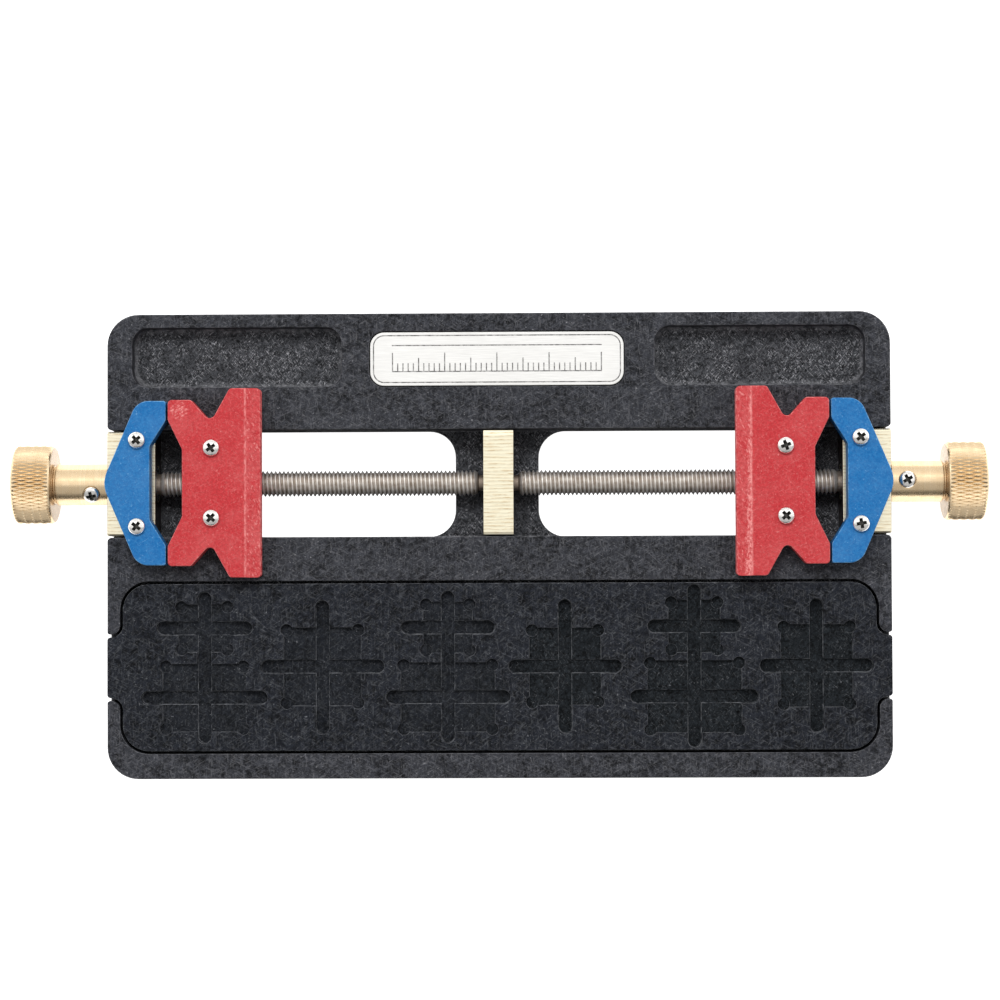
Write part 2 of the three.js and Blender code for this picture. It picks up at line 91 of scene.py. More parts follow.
PARTS_TRAY = {"x": 50.1, "y": 36.2, "length": 40.2, "width": 11.4, "r": 3.1, "depth": 4.0}
BIN_FLOOR_R = 1.5
PLATE_LOW, PLATE_HIGH = mm_box("nameplate")
PLATE_GAP = 0.2
PLATE_R = 2.7
PLATE_RECESS_DEPTH = 1.0

TRAY_LOW, TRAY_HIGH = mm_box("chip_tray")
TRAY_Y = (TRAY_LOW.y + TRAY_HIGH.y) / 2
TRAY_HALF_WIDTH = (TRAY_HIGH.y - TRAY_LOW.y) / 2
TRAY_BODY_HALF = 72.0
TAB_HALF = 5.8
TRAY_GAP = 0.55
TRAY_CORNER_R, TAB_ROOT_R, TAB_END_R = 5.0, 2.3, 0.6
PAD_DEPTH, ARM_DEPTH, ARM_WIDTH = 0.9, 1.5, 2.7
RELIEF_R, RELIEF_INSET = 1.2, 0.55

# Chip pockets: x of the middle, length of the upright arm, and pads of (y from the tray's middle,
# length, width, length of the cross arm).
CHIP_POCKETS = [
    (-56.4, 29.0, [(7.5, 9.9, 9.2, 18.4), (-5.8, 15.9, 13.0, 24.2)]),
    (-33.8, 25.6, [(0.1, 14.8, 15.0, 23.8)]),
    (-9.8, 29.1, [(7.5, 9.4, 9.8, 18.1), (-5.8, 18.0, 13.3, 23.9)]),
    (12.6, 25.7, [(0.0, 13.7, 14.8, 21.8)]),
    (37.3, 31.3, [(7.6, 9.9, 10.1, 17.9), (-5.8, 18.0, 13.8, 24.6)]),
    (60.6, 25.7, [(0.0, 13.7, 15.8, 21.8)]),
]

COUNTERBORE_R, COUNTERBORE_DEPTH, BASE_SCREW_HOLE_R = 2.6, 2.0, 1.45
# Chamfers along the bar stock's long top edges, as (width, drop).
BLOCK_CHAMFER = (0.35, 0.35)
CENTRE_CHAMFER_BACK, CENTRE_CHAMFER_FRONT = (0.9, 0.22), (0.5, 0.16)


# ---- mesh helpers ------------------------------------------------------------------------------


def outline(corners, step=math.radians(9)):
    """A closed loop through corners (x, y, radius) taken anticlockwise, as (point, outward) pairs.

    Each corner is rounded by its radius. outward is as long as an offset of 1 mm needs.
    """
    loop = []
    count = len(corners)
    for i, (x, y, radius) in enumerate(corners):
        corner = Vector((x, y))
        back = (Vector(corners[i - 1][:2]) - corner).normalized()
        ahead = (Vector(corners[(i + 1) % count][:2]) - corner).normalized()
        turn = (-back.x) * ahead.y - (-back.y) * ahead.x
        half = math.acos(max(-1.0, min(1.0, back.dot(ahead)))) / 2
        inward = (back + ahead).normalized()
        if radius <= 0:
            outward = -inward if turn > 0 else inward
            loop.append((corner, outward / math.sin(half)))
            continue
        centre = corner + inward * (radius / math.sin(half))
        reach = radius / math.tan(half)
        start = corner + back * reach - centre
        end = corner + ahead * reach - centre
        sweep = start.angle_signed(end) * -1
        pieces = max(2, math.ceil(abs(sweep) / step))
        for k in range(pieces + 1):
            arm = start.copy()
            arm.rotate(Matrix.Rotation(sweep * k / pieces, 2))
            outward = arm.normalized() * (1 if turn > 0 else -1)
            loop.append((centre + arm, outward))
    return loop


def rectangle(x, y, length, width, radius):
    """The loop of a rounded rectangle centred on x, y."""
    right, left = x + length / 2, x - length / 2
    top, bottom = y + width / 2, y - width / 2
    corners = [(right, top, radius), (left, top, radius), (left, bottom, radius), (right, bottom, radius)]
    return outline(corners)


def circle(x, y, radius, sides=32):
    """A round loop."""
    loop = []
    for k in range(sides):
        angle = 2 * math.pi * k / sides
        arm = Vector((math.cos(angle), math.sin(angle)))
        loop.append((Vector((x, y)) + arm * radius, arm))
    return loop


def quarter(radius, steps=4):
    """Points of a quarter circle as (across, along) from 0, 0 to radius, radius."""
    angles = [math.pi / 2 * k / steps for k in range(steps + 1)]
    return [(radius * (1 - math.cos(t)), radius * math.sin(t)) for t in angles]


def solid_profile(bottom, top, bottom_r, top_r):
    """(offset, height) steps up the side of a solid with rounded bottom and top edges."""
    lower = [(-across, bottom + bottom_r - along) for across, along in reversed(quarter(bottom_r))]
    upper = [(-across, top - top_r + along) for across, along in quarter(top_r)]
    return lower + upper


def pocket_profile(floor, top, floor_r, edge_r):
    """Steps up a cutter for a pocket: a filleted floor, and a mouth that leaves a rounded edge."""
    lower = [(-across, floor + floor_r - along) for across, along in reversed(quarter(floor_r))]
    upper = [(across, top - edge_r + along) for across, along in quarter(edge_r)]
    return lower + upper + [(edge_r, top + 1)]


def through_profile(bottom, top, bottom_r, top_r):
    """Steps up a cutter for a hole right through, with both rims rounded."""
    lower = [(across, bottom + bottom_r - along) for across, along in reversed(quarter(bottom_r))]
    upper = [(across, top - top_r + along) for across, along in quarter(top_r)]
    return [(bottom_r, bottom - 1)] + lower + upper + [(top_r, top + 1)]


def stack(rings):
    """Vertices and faces of a closed solid through rings of equal count, lowest first."""
    count = len(rings[0])
    verts = [point for ring in rings for point in ring]
    faces = [tuple(reversed(range(count)))]
    for level in range(len(rings) - 1):
        for k in range(count):
            here, after = level * count + k, level * count + (k + 1) % count
            faces.append((here, after, after + count, here + count))
    last = (len(rings) - 1) * count
    faces.append(tuple(range(last, last + count)))
    return verts, faces


def raised(loop, profile, squash=(1, 1)):
    """A solid whose section is loop and whose side follows profile's (offset, height) steps."""
    rings = []
    for offset, height in profile:
        ring = []
        for point, outward in loop:
            ring.append((
                point.x + outward.x * offset * squash[0],
                point.y + outward.y * offset * squash[1],
                height,
            ))
        rings.append(ring)
    return stack(rings)


def turned_rings(profile, angles):
    """Rings about X at (x, radius) steps, with a point at each angle. Angles run about +X."""
    return [
        [(x, radius * math.cos(t), radius * math.sin(t)) for t in angles]
        for x, radius in profile
    ]


def even_angles(sides):
    return [2 * math.pi * k / sides for k in range(sides)]


def make(name, shape, place=Matrix()):
    """An object from vertices and faces in millimetres, with every face turned outward."""
    verts, faces = shape
    mesh = bpy.data.meshes.new(name)
    mesh.from_pydata([(place @ Vector(v)) * MM for v in verts], [], faces)
    turned = bmesh.new()
    turned.from_mesh(mesh)
    bmesh.ops.recalc_face_normals(turned, faces=turned.faces)
    turned.to_mesh(mesh)
    turned.free()
    obj = bpy.data.objects.new(name, mesh)
    bpy.context.scene.collection.objects.link(obj)
    return obj


def settle(obj):
    """Turns an object's modifiers into its mesh."""
    graph = bpy.context.evaluated_depsgraph_get()
    mesh = bpy.data.meshes.new_from_object(obj.evaluated_get(graph))
    old = obj.data
    obj.modifiers.clear()
    obj.data = mesh
    bpy.data.meshes.remove(old)


def combine(obj, tools, operation="DIFFERENCE"):
    """Cuts tools out of obj, or joins them to it, and removes the tools."""
    for tool in tools:
        step = obj.modifiers.new("combine", "BOOLEAN")
        step.operation = operation
        step.solver = "MANIFOLD"
        step.object = tool
    settle(obj)
    for tool in tools:
        mesh = tool.data
        bpy.data.objects.remove(tool)
        bpy.data.meshes.remove(mesh)


def cutters(shapes, place=Matrix()):
    """Throw-away objects to cut with."""
    return [make(f"cutter_{i}", shape, place) for i, shape in enumerate(shapes)]


def smooth(obj, angle=35):
    """Smooth shading with crisp edges, and normals that keep the large faces flat."""
    mesh = bmesh.new()
    mesh.from_mesh(obj.data)
    bmesh.ops.remove_doubles(mesh, verts=mesh.verts, dist=2e-7)
    bmesh.ops.dissolve_degenerate(mesh, edges=mesh.edges, dist=1e-7)
    bmesh.ops.recalc_face_normals(mesh, faces=mesh.faces)
    mesh.to_mesh(obj.data)
    mesh.free()
    obj.data.shade_smooth()
    obj.data.set_sharp_from_angle(angle=math.radians(angle))
    weighted = obj.modifiers.new("weighted", "WEIGHTED_NORMAL")
    weighted.keep_sharp = True
    weighted.weight = 80
    settle(obj)


def finish(obj, node, material):
    """Gives a piece its material, hides the CAD node that it stands for and parents the piece to that
    node's body.
    """
    obj.data.materials.clear()
    obj.data.materials.append(material)
    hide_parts(node)
    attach(obj, BODY_OF[node])


def end_frame(side):
    """Places a piece drawn as the right-hand end, with the channel's middle at y 0."""
    turn = Matrix.Rotation(0 if side == "right" else math.pi, 4, "Z")
    return Matrix.Translation((0, CHANNEL_Y, 0)) @ turn


# ---- materials ---------------------------------------------------------------------------------


class Shader:
    """A node tree with short ways to add nodes. Textures run in object space, in millimetres."""

    def __init__(self, name, **sockets):
        self.material = bpy.data.materials.new(name)
        self.material.use_nodes = True
        self.nodes = self.material.node_tree.nodes
        self.links = self.material.node_tree.links
        self.shader = self.nodes["Principled BSDF"]
        for socket, value in sockets.items():
            self.shader.inputs[socket.replace("_", " ")].default_value = value
        coordinates = self.nodes.new("ShaderNodeTexCoord")
        scale = self.nodes.new("ShaderNodeVectorMath")
        scale.operation = "SCALE"
        scale.inputs["Scale"].default_value = 1 / MM
        self.links.new(coordinates.outputs["Object"], scale.inputs[0])
        self.place = scale.outputs[0]
        self.normal = coordinates.outputs["Normal"]

    def mapped(self, scale=(1, 1, 1), turn=(0, 0, 0)):
        """The place in millimetres, turned and then stretched."""
        node = self.nodes.new("ShaderNodeMapping")
        node.vector_type = "TEXTURE"
        node.inputs["Rotation"].default_value = turn
        node.inputs["Scale"].default_value = [1 / s for s in scale]
        self.links.new(self.place, node.inputs["Vector"])
        return node.outputs[0]

    def noise(self, vector, scale=1.0, detail=2.0, roughness=0.5, distortion=0.0):
        node = self.nodes.new("ShaderNodeTexNoise")
        node.inputs["Scale"].default_value = scale
        node.inputs["Detail"].default_value = detail
        node.inputs["Roughness"].default_value = roughness
        node.inputs["Distortion"].default_value = distortion
        self.links.new(vector, node.inputs["Vector"])
        return node.outputs["Fac"]

    def math(self, operation, a, b=0.0):
        node = self.nodes.new("ShaderNodeMath")
        node.operation = operation
        for socket, value in zip(node.inputs, (a, b)):
            if hasattr(value, "is_output"):
                self.links.new(value, socket)
            else:
                socket.default_value = value
        return node.outputs[0]

    def times(self, first, *others):
        for other in others:
            first = self.math("MULTIPLY", first, other)
        return first

    def most(self, first, *others):
        for other in others:
            first = self.math("MAXIMUM", first, other)
        return first

    def ramp(self, value, low, high, low_to=0.0, high_to=1.0):
        """Maps low..high to low_to..high_to, clamped."""
        node = self.nodes.new("ShaderNodeMapRange")
        node.inputs["From Min"].default_value = low
        node.inputs["From Max"].default_value = high
        node.inputs["To Min"].default_value = low_to
        node.inputs["To Max"].default_value = high_to
        self.links.new(value, node.inputs["Value"])
        return node.outputs[0]

    def mix(self, factor, a, b):
        """A colour between a and b, each a colour or a socket."""
        node = self.nodes.new("ShaderNodeMix")
        node.data_type = "RGBA"
        if hasattr(factor, "is_output"):
            self.links.new(factor, node.inputs[0])
        else:
            node.inputs[0].default_value = factor
        for socket, value in ((node.inputs[6], a), (node.inputs[7], b)):
            if hasattr(value, "is_output"):
                self.links.new(value, socket)
            else:
                socket.default_value = (*value, 1)
        return node.outputs[2]

    def axis(self, vector, name):
        node = self.nodes.new("ShaderNodeSeparateXYZ")
        self.links.new(vector, node.inputs[0])
        return node.outputs[name]

    def colour(self, value):
        self.links.new(value, self.shader.inputs["Base Color"])

    def roughness(self, value):
        self.links.new(value, self.shader.inputs["Roughness"])

    def bump(self, height, distance, strength=1.0):
        """Bump from a height of 0 to 1, distance millimetres tall, over any bump before it."""
        node = self.nodes.new("ShaderNodeBump")
        node.inputs["Distance"].default_value = distance * MM
        node.inputs["Strength"].default_value = strength
        self.links.new(height, node.inputs["Height"])
        before = self.shader.inputs["Normal"].links
        if before:
            self.links.new(before[0].from_socket, node.inputs["Normal"])
        self.links.new(node.outputs[0], self.shader.inputs["Normal"])


def linear(red, green, blue):
    """A colour given as screen values from 0 to 255."""
    values = [c / 255 for c in (red, green, blue)]
    return tuple(c / 12.92 if c <= 0.04045 else ((c + 0.055) / 1.055) ** 2.4 for c in values)


# The fibres lie every way, so each layer of them has its own turn.
FIBRE_TURNS = [(0.1, 0.1, 0.5), (-0.1, 0.1, 1.6), (0.1, -0.1, 2.7)]


def edge_wear(s, flat, scale=0.9):
    """Broken wear on rounded edges: 0 on faces that lie flat or stand upright."""
    up = s.math("ABSOLUTE", s.axis(s.normal, "Z"))
    edge = s.times(s.ramp(up, 0.05, 0.35), s.ramp(up, flat, 0.75))
    return s.times(edge, s.ramp(s.noise(s.mapped(), scale, 3.0, 0.6), 0.38, 0.66))


def strands(s, stretch, turns, low, high):
    """Short fibres lying in the board's plane, in one layer for each turn."""
    found = None
    for lean, tilt, turn in turns:
        layer = s.ramp(s.noise(s.mapped(stretch, (lean, tilt, turn)), 1.0, 4.0, 0.75), low, high)
        found = layer if found is None else s.most(found, layer)
    return found


def stone_material(name, tone, chip, floor_z, floor_tone, torn_share, wear, left_floor=1.0, turn=0.0):
    """Dense glass-fibre board: mottled charcoal with fibres, pale chips and scuffs.

    Below floor_z lie the pocket floors, which the cutter left rougher and in their own tone, while
    the upright walls keep the board's tone. left_floor is how far the left half's floors show it.
    """
    s = Shader(name, Roughness=0.62)
    s.shader.inputs["Specular IOR Level"].default_value = 0.08
    turns = [(lean, tilt, angle + turn) for lean, tilt, angle in FIBRE_TURNS]
    fibres = strands(s, (0.55, 3.0, 2.6), turns, 0.54, 0.72)
    cloud = s.noise(s.mapped(), 0.15, 4.0, 0.65)
    mottle = s.noise(s.mapped(), 0.95, 6.0, 0.8)
    grain = s.noise(s.mapped(), 3.6, 3.0, 0.7)
    body = s.mix(s.ramp(mottle, 0.41, 0.59), [c * 0.2 for c in tone], [c * 2.0 for c in tone])
    body = s.mix(s.ramp(grain, 0.54, 0.38, 0.0, 0.65), body, [c * 0.25 for c in tone])
    body = s.mix(s.ramp(cloud, 0.44, 0.6, 0.0, 0.35), body, [c * 2.1 for c in tone])
    body = s.mix(s.times(fibres, 0.27), body, chip)
    # the rough floors: swirls left by the cutter, dark pits and torn pale fibres
    height = s.axis(s.place, "Z")
    on_floor = s.ramp(height, floor_z + 0.12, floor_z - 0.12)
    on_floor = s.times(on_floor, s.ramp(s.axis(s.normal, "Z"), 0.35, 0.8))
    share = s.ramp(s.axis(s.place, "X"), -5, 5, left_floor, 1.0)
    swirl = s.noise(s.mapped((1, 1, 1), (0, 0, 0.6)), 1.3, 6.0, 0.8, 1.2)
    rough = s.mix(s.ramp(swirl, 0.40, 0.60), [c * 0.15 for c in floor_tone], [c * 2.0 for c in floor_tone])
    torn = strands(s, (1.1, 3.8, 2.0), [(0, 0, 0.9), (0, 0, 2.3)], 0.56, 0.68)
    patches = s.ramp(s.noise(s.mapped(), 0.3, 3.0, 0.6), 0.4, 0.6, 0.2, 1.0)
    bright = [min(1.0, c * 1.9) for c in chip]
    rough = s.mix(s.times(torn, patches, torn_share), rough, bright)
    body = s.mix(s.times(on_floor, share), body, rough)
    # chips and a few long faint scratches
    chips = s.ramp(s.noise(s.mapped(), 2.1, 3.0, 0.65), 0.64, 0.74)
    chips = s.times(chips, s.ramp(cloud, 0.4, 0.6, 0.15, 0.75))
    scuff = s.noise(s.mapped((0.07, 4.5, 2.0), (0, 0, -0.75)), 1.0, 2.0, 0.5)
    body = s.mix(s.math("ADD", chips, s.ramp(scuff, 0.7, 0.78, 0.0, 0.2)), body, chip)
    s.colour(s.mix(s.times(edge_wear(s, 0.97), wear), body, chip))
    s.roughness(s.ramp(mottle, 0.3, 0.7, 0.5, 0.72))
    s.bump(mottle, 0.08, 0.5)
    s.bump(s.times(swirl, on_floor), 0.35, 0.8)
    return s.material


WORN_RIDGE = 48.05  # distance of each jaw's ridge from the vise's middle
RUBBED_SPOT, RUBBED_R = Vector((-60.6, 25.8)), 1.9  # a scuffed corner of the left jaw


def ridge_wear(s):
    """Wear on a jaw: a pale ridge, ticks on the bevel before it and one scuffed corner."""
    across = s.axis(s.place, "X")
    from_line = s.math("SUBTRACT", s.math("ABSOLUTE", across), WORN_RIDGE)
    broken = s.ramp(s.noise(s.mapped((2.2, 0.9, 1.0)), 1.0, 4.0, 0.7), 0.36, 0.6)
    line = s.times(s.ramp(s.math("ABSOLUTE", from_line), 0.32, 0.08), broken)
    # the right-hand jaw has seen more use, so its ridge is rubbed down into a band
    use = s.ramp(across, -1, 1)
    crumbs = s.ramp(s.noise(s.mapped((2.4, 1.3, 1.0)), 1.0, 4.0, 0.75), 0.42, 0.58)
    width = s.ramp(s.axis(s.place, "Y"), 28, -4, 0.35, 1.1)
    ragged = s.math("ADD", width, s.ramp(s.noise(s.mapped(), 0.5, 4.0, 0.7), 0.3, 0.7, -0.4, 0.4))
    inside = s.ramp(s.math("ADD", from_line, ragged), -0.15, 0.2)
    band = s.times(inside, s.ramp(from_line, 0.15, 0.0), crumbs, use)
    ticks = s.ramp(s.noise(s.mapped((2.8, 1.0, 1.0), (0, 0, 0.45)), 1.0, 3.0, 0.65), 0.56, 0.68)
    ticks = s.times(ticks, s.ramp(from_line, 0.0, -0.4, 0.0, 0.5))
    from_spot = s.math("SUBTRACT", across, RUBBED_SPOT.x)
    up_spot = s.math("SUBTRACT", s.axis(s.place, "Y"), RUBBED_SPOT.y)
    squares = s.math("ADD", s.times(from_spot, from_spot), s.times(up_spot, up_spot))
    scrawl = s.ramp(s.noise(s.mapped((1.2, 2.6, 1.0), (0, 0, 0.5)), 1.0, 4.0, 0.8), 0.48, 0.62, 0.0, 0.7)
    spot = s.times(s.ramp(squares, RUBBED_R ** 2, RUBBED_R ** 2 / 2), scrawl)
    return s.most(s.times(line, 0.5), s.times(band, 0.7), ticks, spot)


def plate_material(name, body, deep, pale, fleck, jaw=False):
    """Dyed plate: even colour with fine speckle and flecks, pale rubbed edges, short scratches."""
    s = Shader(name, Roughness=0.45)
    s.shader.inputs["Specular IOR Level"].default_value = 0.16
    speckle = s.noise(s.mapped(), 2.2, 4.0, 0.75)
    cloud = s.noise(s.mapped(), 0.22, 3.0, 0.5)
    base = s.mix(s.ramp(speckle, 0.38, 0.62), deep, body)
    base = s.mix(s.ramp(cloud, 0.4, 0.75, 0.0, 0.08), base, pale)
    flecks = strands(s, (0.9, 3.4, 2.0), [(0, 0, 0.4), (0, 0, 1.7), (0, 0, 2.6)], 0.56, 0.74)
    specks = s.ramp(s.noise(s.mapped(), 2.0, 3.0, 0.6), 0.63, 0.74, 0.0, 0.42)
    scratch = s.ramp(s.noise(s.mapped((0.3, 8.0, 2.0), (0, 0, 0.5)), 1.0, 2.0, 0.5), 0.68, 0.78, 0.0, 0.4)
    marks = s.most(s.times(flecks, fleck), s.most(specks, scratch))
    base = s.mix(marks, base, pale)
    wear = s.times(edge_wear(s, 0.985, 1.1), 0.6)
    if jaw:
        wear = s.most(wear, ridge_wear(s))
    s.colour(s.mix(wear, base, pale))
    s.roughness(s.ramp(speckle, 0.3, 0.7, 0.38, 0.52))
    s.bump(speckle, 0.03, 0.4)
    return s.material


CUTTER_PITCH = 0.66
# The screws' cross recesses are marked for painted shade, with some dirt.
SHADE_AND_DIRT = "shade_and_dirt"


def toward_x(s, low, high):
    """1 on faces that look along X, such as the sawn ends of a bar."""
    return s.ramp(s.math("ABSOLUTE", s.axis(s.normal, "X")), low, high)


def milled_brass():
    """Bar stock, fly-cut on top: a fine line along X for each pass, and the faces that look along X
    coloured near black as painted shade.
    """
    s = Shader("milled_brass", Metallic=1.0, Roughness=0.3)
    wander = s.noise(s.mapped((0.16, 0.6, 0.5)), 1.0, 4.0, 0.65)
    passes = s.times(s.axis(s.place, "Y"), 2 * math.pi / CUTTER_PITCH)
    ridge = s.math("SINE", s.math("ADD", passes, s.times(wander, 9.0)))
    broken = s.noise(s.mapped((0.3, 1.7, 1.0)), 1.0, 4.0, 0.7)
    tarnish = s.noise(s.mapped(), 0.5, 4.0, 0.6)
    score = s.times(s.ramp(ridge, 0.3, 0.98), s.ramp(broken, 0.43, 0.62, 0.03, 0.85))
    face = s.mix(score, linear(253, 245, 218), linear(208, 178, 130))
    face = s.mix(s.ramp(tarnish, 0.5, 0.8, 0.0, 0.25), face, linear(232, 200, 150))
    # painted shade: faces that look along X, such as the blocks' inner ends, are coloured near black
    s.colour(s.mix(toward_x(s, 0.6, 0.9), face, linear(74, 56, 40)))
    s.roughness(s.ramp(broken, 0.3, 0.7, 0.28, 0.42))
    s.bump(ridge, 0.012, 0.4)
    return s.material


def turned_brass():
    """Turned and knurled brass: fine rings round the axis, and a duller faced-off shoulder."""
    s = Shader("turned_brass", Metallic=1.0, Roughness=0.24)
    rings = s.noise(s.mapped((7.0, 0.06, 0.06)), 1.0, 3.0, 0.7)
    tarnish = s.noise(s.mapped(), 0.7, 4.0, 0.6)
    face = s.mix(s.ramp(rings, 0.3, 0.7), linear(240, 210, 168), linear(250, 226, 188))
    face = s.mix(s.ramp(tarnish, 0.45, 0.8, 0.0, 0.45), face, linear(224, 190, 144))
    s.colour(s.mix(toward_x(s, 0.85, 0.98), face, linear(190, 166, 136)))
    s.roughness(s.ramp(tarnish, 0.3, 0.7, 0.2, 0.32))
    s.bump(rings, 0.008, 0.35)
    return s.material


def rod_material():
    """Rolled steel thread: bright flanks, and roots coloured darker as painted shade, with some grease."""
    s = Shader("thread_steel", Metallic=0.82)
    y = s.math("SUBTRACT", s.axis(s.place, "Y"), CHANNEL_Y)
    z = s.math("SUBTRACT", s.axis(s.place, "Z"), AXIS_Z)
    away = s.math("SQRT", s.math("ADD", s.times(y, y), s.times(z, z)))
    blotches = s.noise(s.mapped(), 0.9, 4.0, 0.6)
    crest = s.ramp(s.math("ADD", away, s.times(blotches, 0.3)), 2.12, 2.4)
    steel = s.mix(s.ramp(blotches, 0.35, 0.7), linear(240, 234, 228), linear(253, 250, 246))
    # painted shade: the thread roots are coloured darker than the crests
    s.colour(s.mix(crest, linear(154, 140, 126), steel))
    s.roughness(s.ramp(crest, 0.0, 1.0, 0.42, 0.28))
    s.bump(blotches, 0.02, 0.3)
    return s.material


def screw_material():
    """Nickel plate with a few dull spots, and the cross recess coloured near black: painted shade, with
    some dirt.
    """
    s = Shader("nickel", Metallic=1.0, Roughness=0.22)
    spots = s.noise(s.mapped(), 2.6, 3.0, 0.6)
    plated = s.mix(s.ramp(spots, 0.5, 0.8), linear(250, 248, 244), linear(190, 184, 178))
    shade_and_dirt = s.nodes.new("ShaderNodeAttribute")
    shade_and_dirt.attribute_name = SHADE_AND_DIRT
    held = s.times(shade_and_dirt.outputs["Fac"], s.ramp(spots, 0.3, 0.7, 1.0, 0.82))
    # painted shade, with some dirt: the recess faces are coloured near black
    s.colour(s.mix(held, plated, linear(44, 44, 38)))
    s.roughness(s.ramp(shade_and_dirt.outputs["Fac"], 0.0, 1.0, 0.22, 0.6))
    s.bump(s.noise(s.mapped(), 9.0, 2.0), 0.008, 0.4)
    return s.material


def ground_steel(name, tint):
    """Plain ground steel for bearings and hidden screws."""
    s = Shader(name, Metallic=1.0, Roughness=0.3)
    marks = s.noise(s.mapped((6.0, 0.5, 0.5)), 1.0, 3.0, 0.6)
    s.colour(s.mix(s.ramp(marks, 0.35, 0.65), [c * 0.75 for c in tint], tint))
    s.roughness(s.ramp(marks, 0.3, 0.7, 0.22, 0.42))
    s.bump(marks, 0.006, 0.4)
    return s.material


def nameplate_material():
    """Stamped silver plate: fine brushing, with grey paint left in its grooves."""
    s = Shader("nameplate_silver", Metallic=0.6, Roughness=0.36)
    brushing = s.noise(s.mapped((0.25, 9.0, 2.0)), 1.0, 3.0, 0.6)
    cloud = s.noise(s.mapped(), 0.12, 3.0, 0.5)
    height = s.axis(s.place, "Z")
    painted = s.ramp(height, PLATE_HIGH.z - 0.05, PLATE_HIGH.z - 0.09)
    silver = s.mix(s.ramp(brushing, 0.3, 0.7), linear(226, 225, 222), linear(248, 247, 244))
    silver = s.mix(s.ramp(cloud, 0.3, 0.75, 0.0, 0.3), silver, linear(216, 214, 210))
    chipped = s.ramp(s.noise(s.mapped(), 1.1, 4.0, 0.7), 0.42, 0.6)
    paint = s.mix(chipped, linear(96, 94, 94), linear(182, 180, 178))
    s.colour(s.mix(painted, silver, paint))
    s.roughness(s.ramp(brushing, 0.3, 0.7, 0.3, 0.45))
    s.bump(brushing, 0.008, 0.5)
    return s.material


STONE = stone_material(
    "base_stone", linear(40, 41, 45), linear(150, 150, 154),
    BASE_TOP - PARTS_TRAY["depth"] + BIN_FLOOR_R + 0.1, linear(51, 52, 55), 0.8, 0.35,
)
TRAY_STONE = stone_material(
    "tray_stone", linear(22, 24, 29), linear(130, 132, 136),
    BASE_TOP - 0.45, linear(23, 26, 29), 0.14, 0.55, 0.25, 1.1,
)
RED = plate_material(
    "red_plate", linear(184, 52, 57), linear(160, 42, 46), linear(230, 156, 152), 0.26, jaw=True,
)
BLUE = plate_material("blue_plate", linear(32, 106, 164), linear(14, 88, 148), linear(140, 184, 214), 0.14)
MILLED = milled_brass()
TURNED = turned_brass()
ROD = rod_material()
NICKEL = screw_material()
BEARING = ground_steel("bearing_steel", linear(200, 200, 202))
PLAIN_SCREW = ground_steel("plain_screw_steel", linear(150, 148, 146))
SILVER = nameplate_material()


# ---- base, tray and nameplate ------------------------------------------------------------------


def tray_corners(gap):
    """The tray's right-hand corners, grown by gap, up to the root of its tab."""
    body, half, tab = TRAY_BODY_HALF + gap, TRAY_HALF_WIDTH + gap, TAB_HALF + gap
    lower = [(body, -half, TRAY_CORNER_R + gap), (body, -tab, TAB_ROOT_R - gap)]
    upper = [(body, tab, TAB_ROOT_R - gap), (body, half, TRAY_CORNER_R + gap)]
    return lower, upper


def both_ends(corners, y):
    """The loop through right-hand corners and the same corners turned to the left-hand end."""
    turned = [(-x, -across, radius) for x, across, radius in corners]
    return outline([(x, across + y, radius) for x, across, radius in corners + turned])


def mouth(across, radius):
    """Corners of a cut that opens through the base's end, rounding the edges that it leaves."""
    end = BASE_END + 0.02
    wide = across + radius + 1
    return [
        (end, -across, radius), (end, -wide, 0), (end + 2, -wide, 0),
        (end + 2, wide, 0), (end, wide, 0), (end, across, radius),
    ]


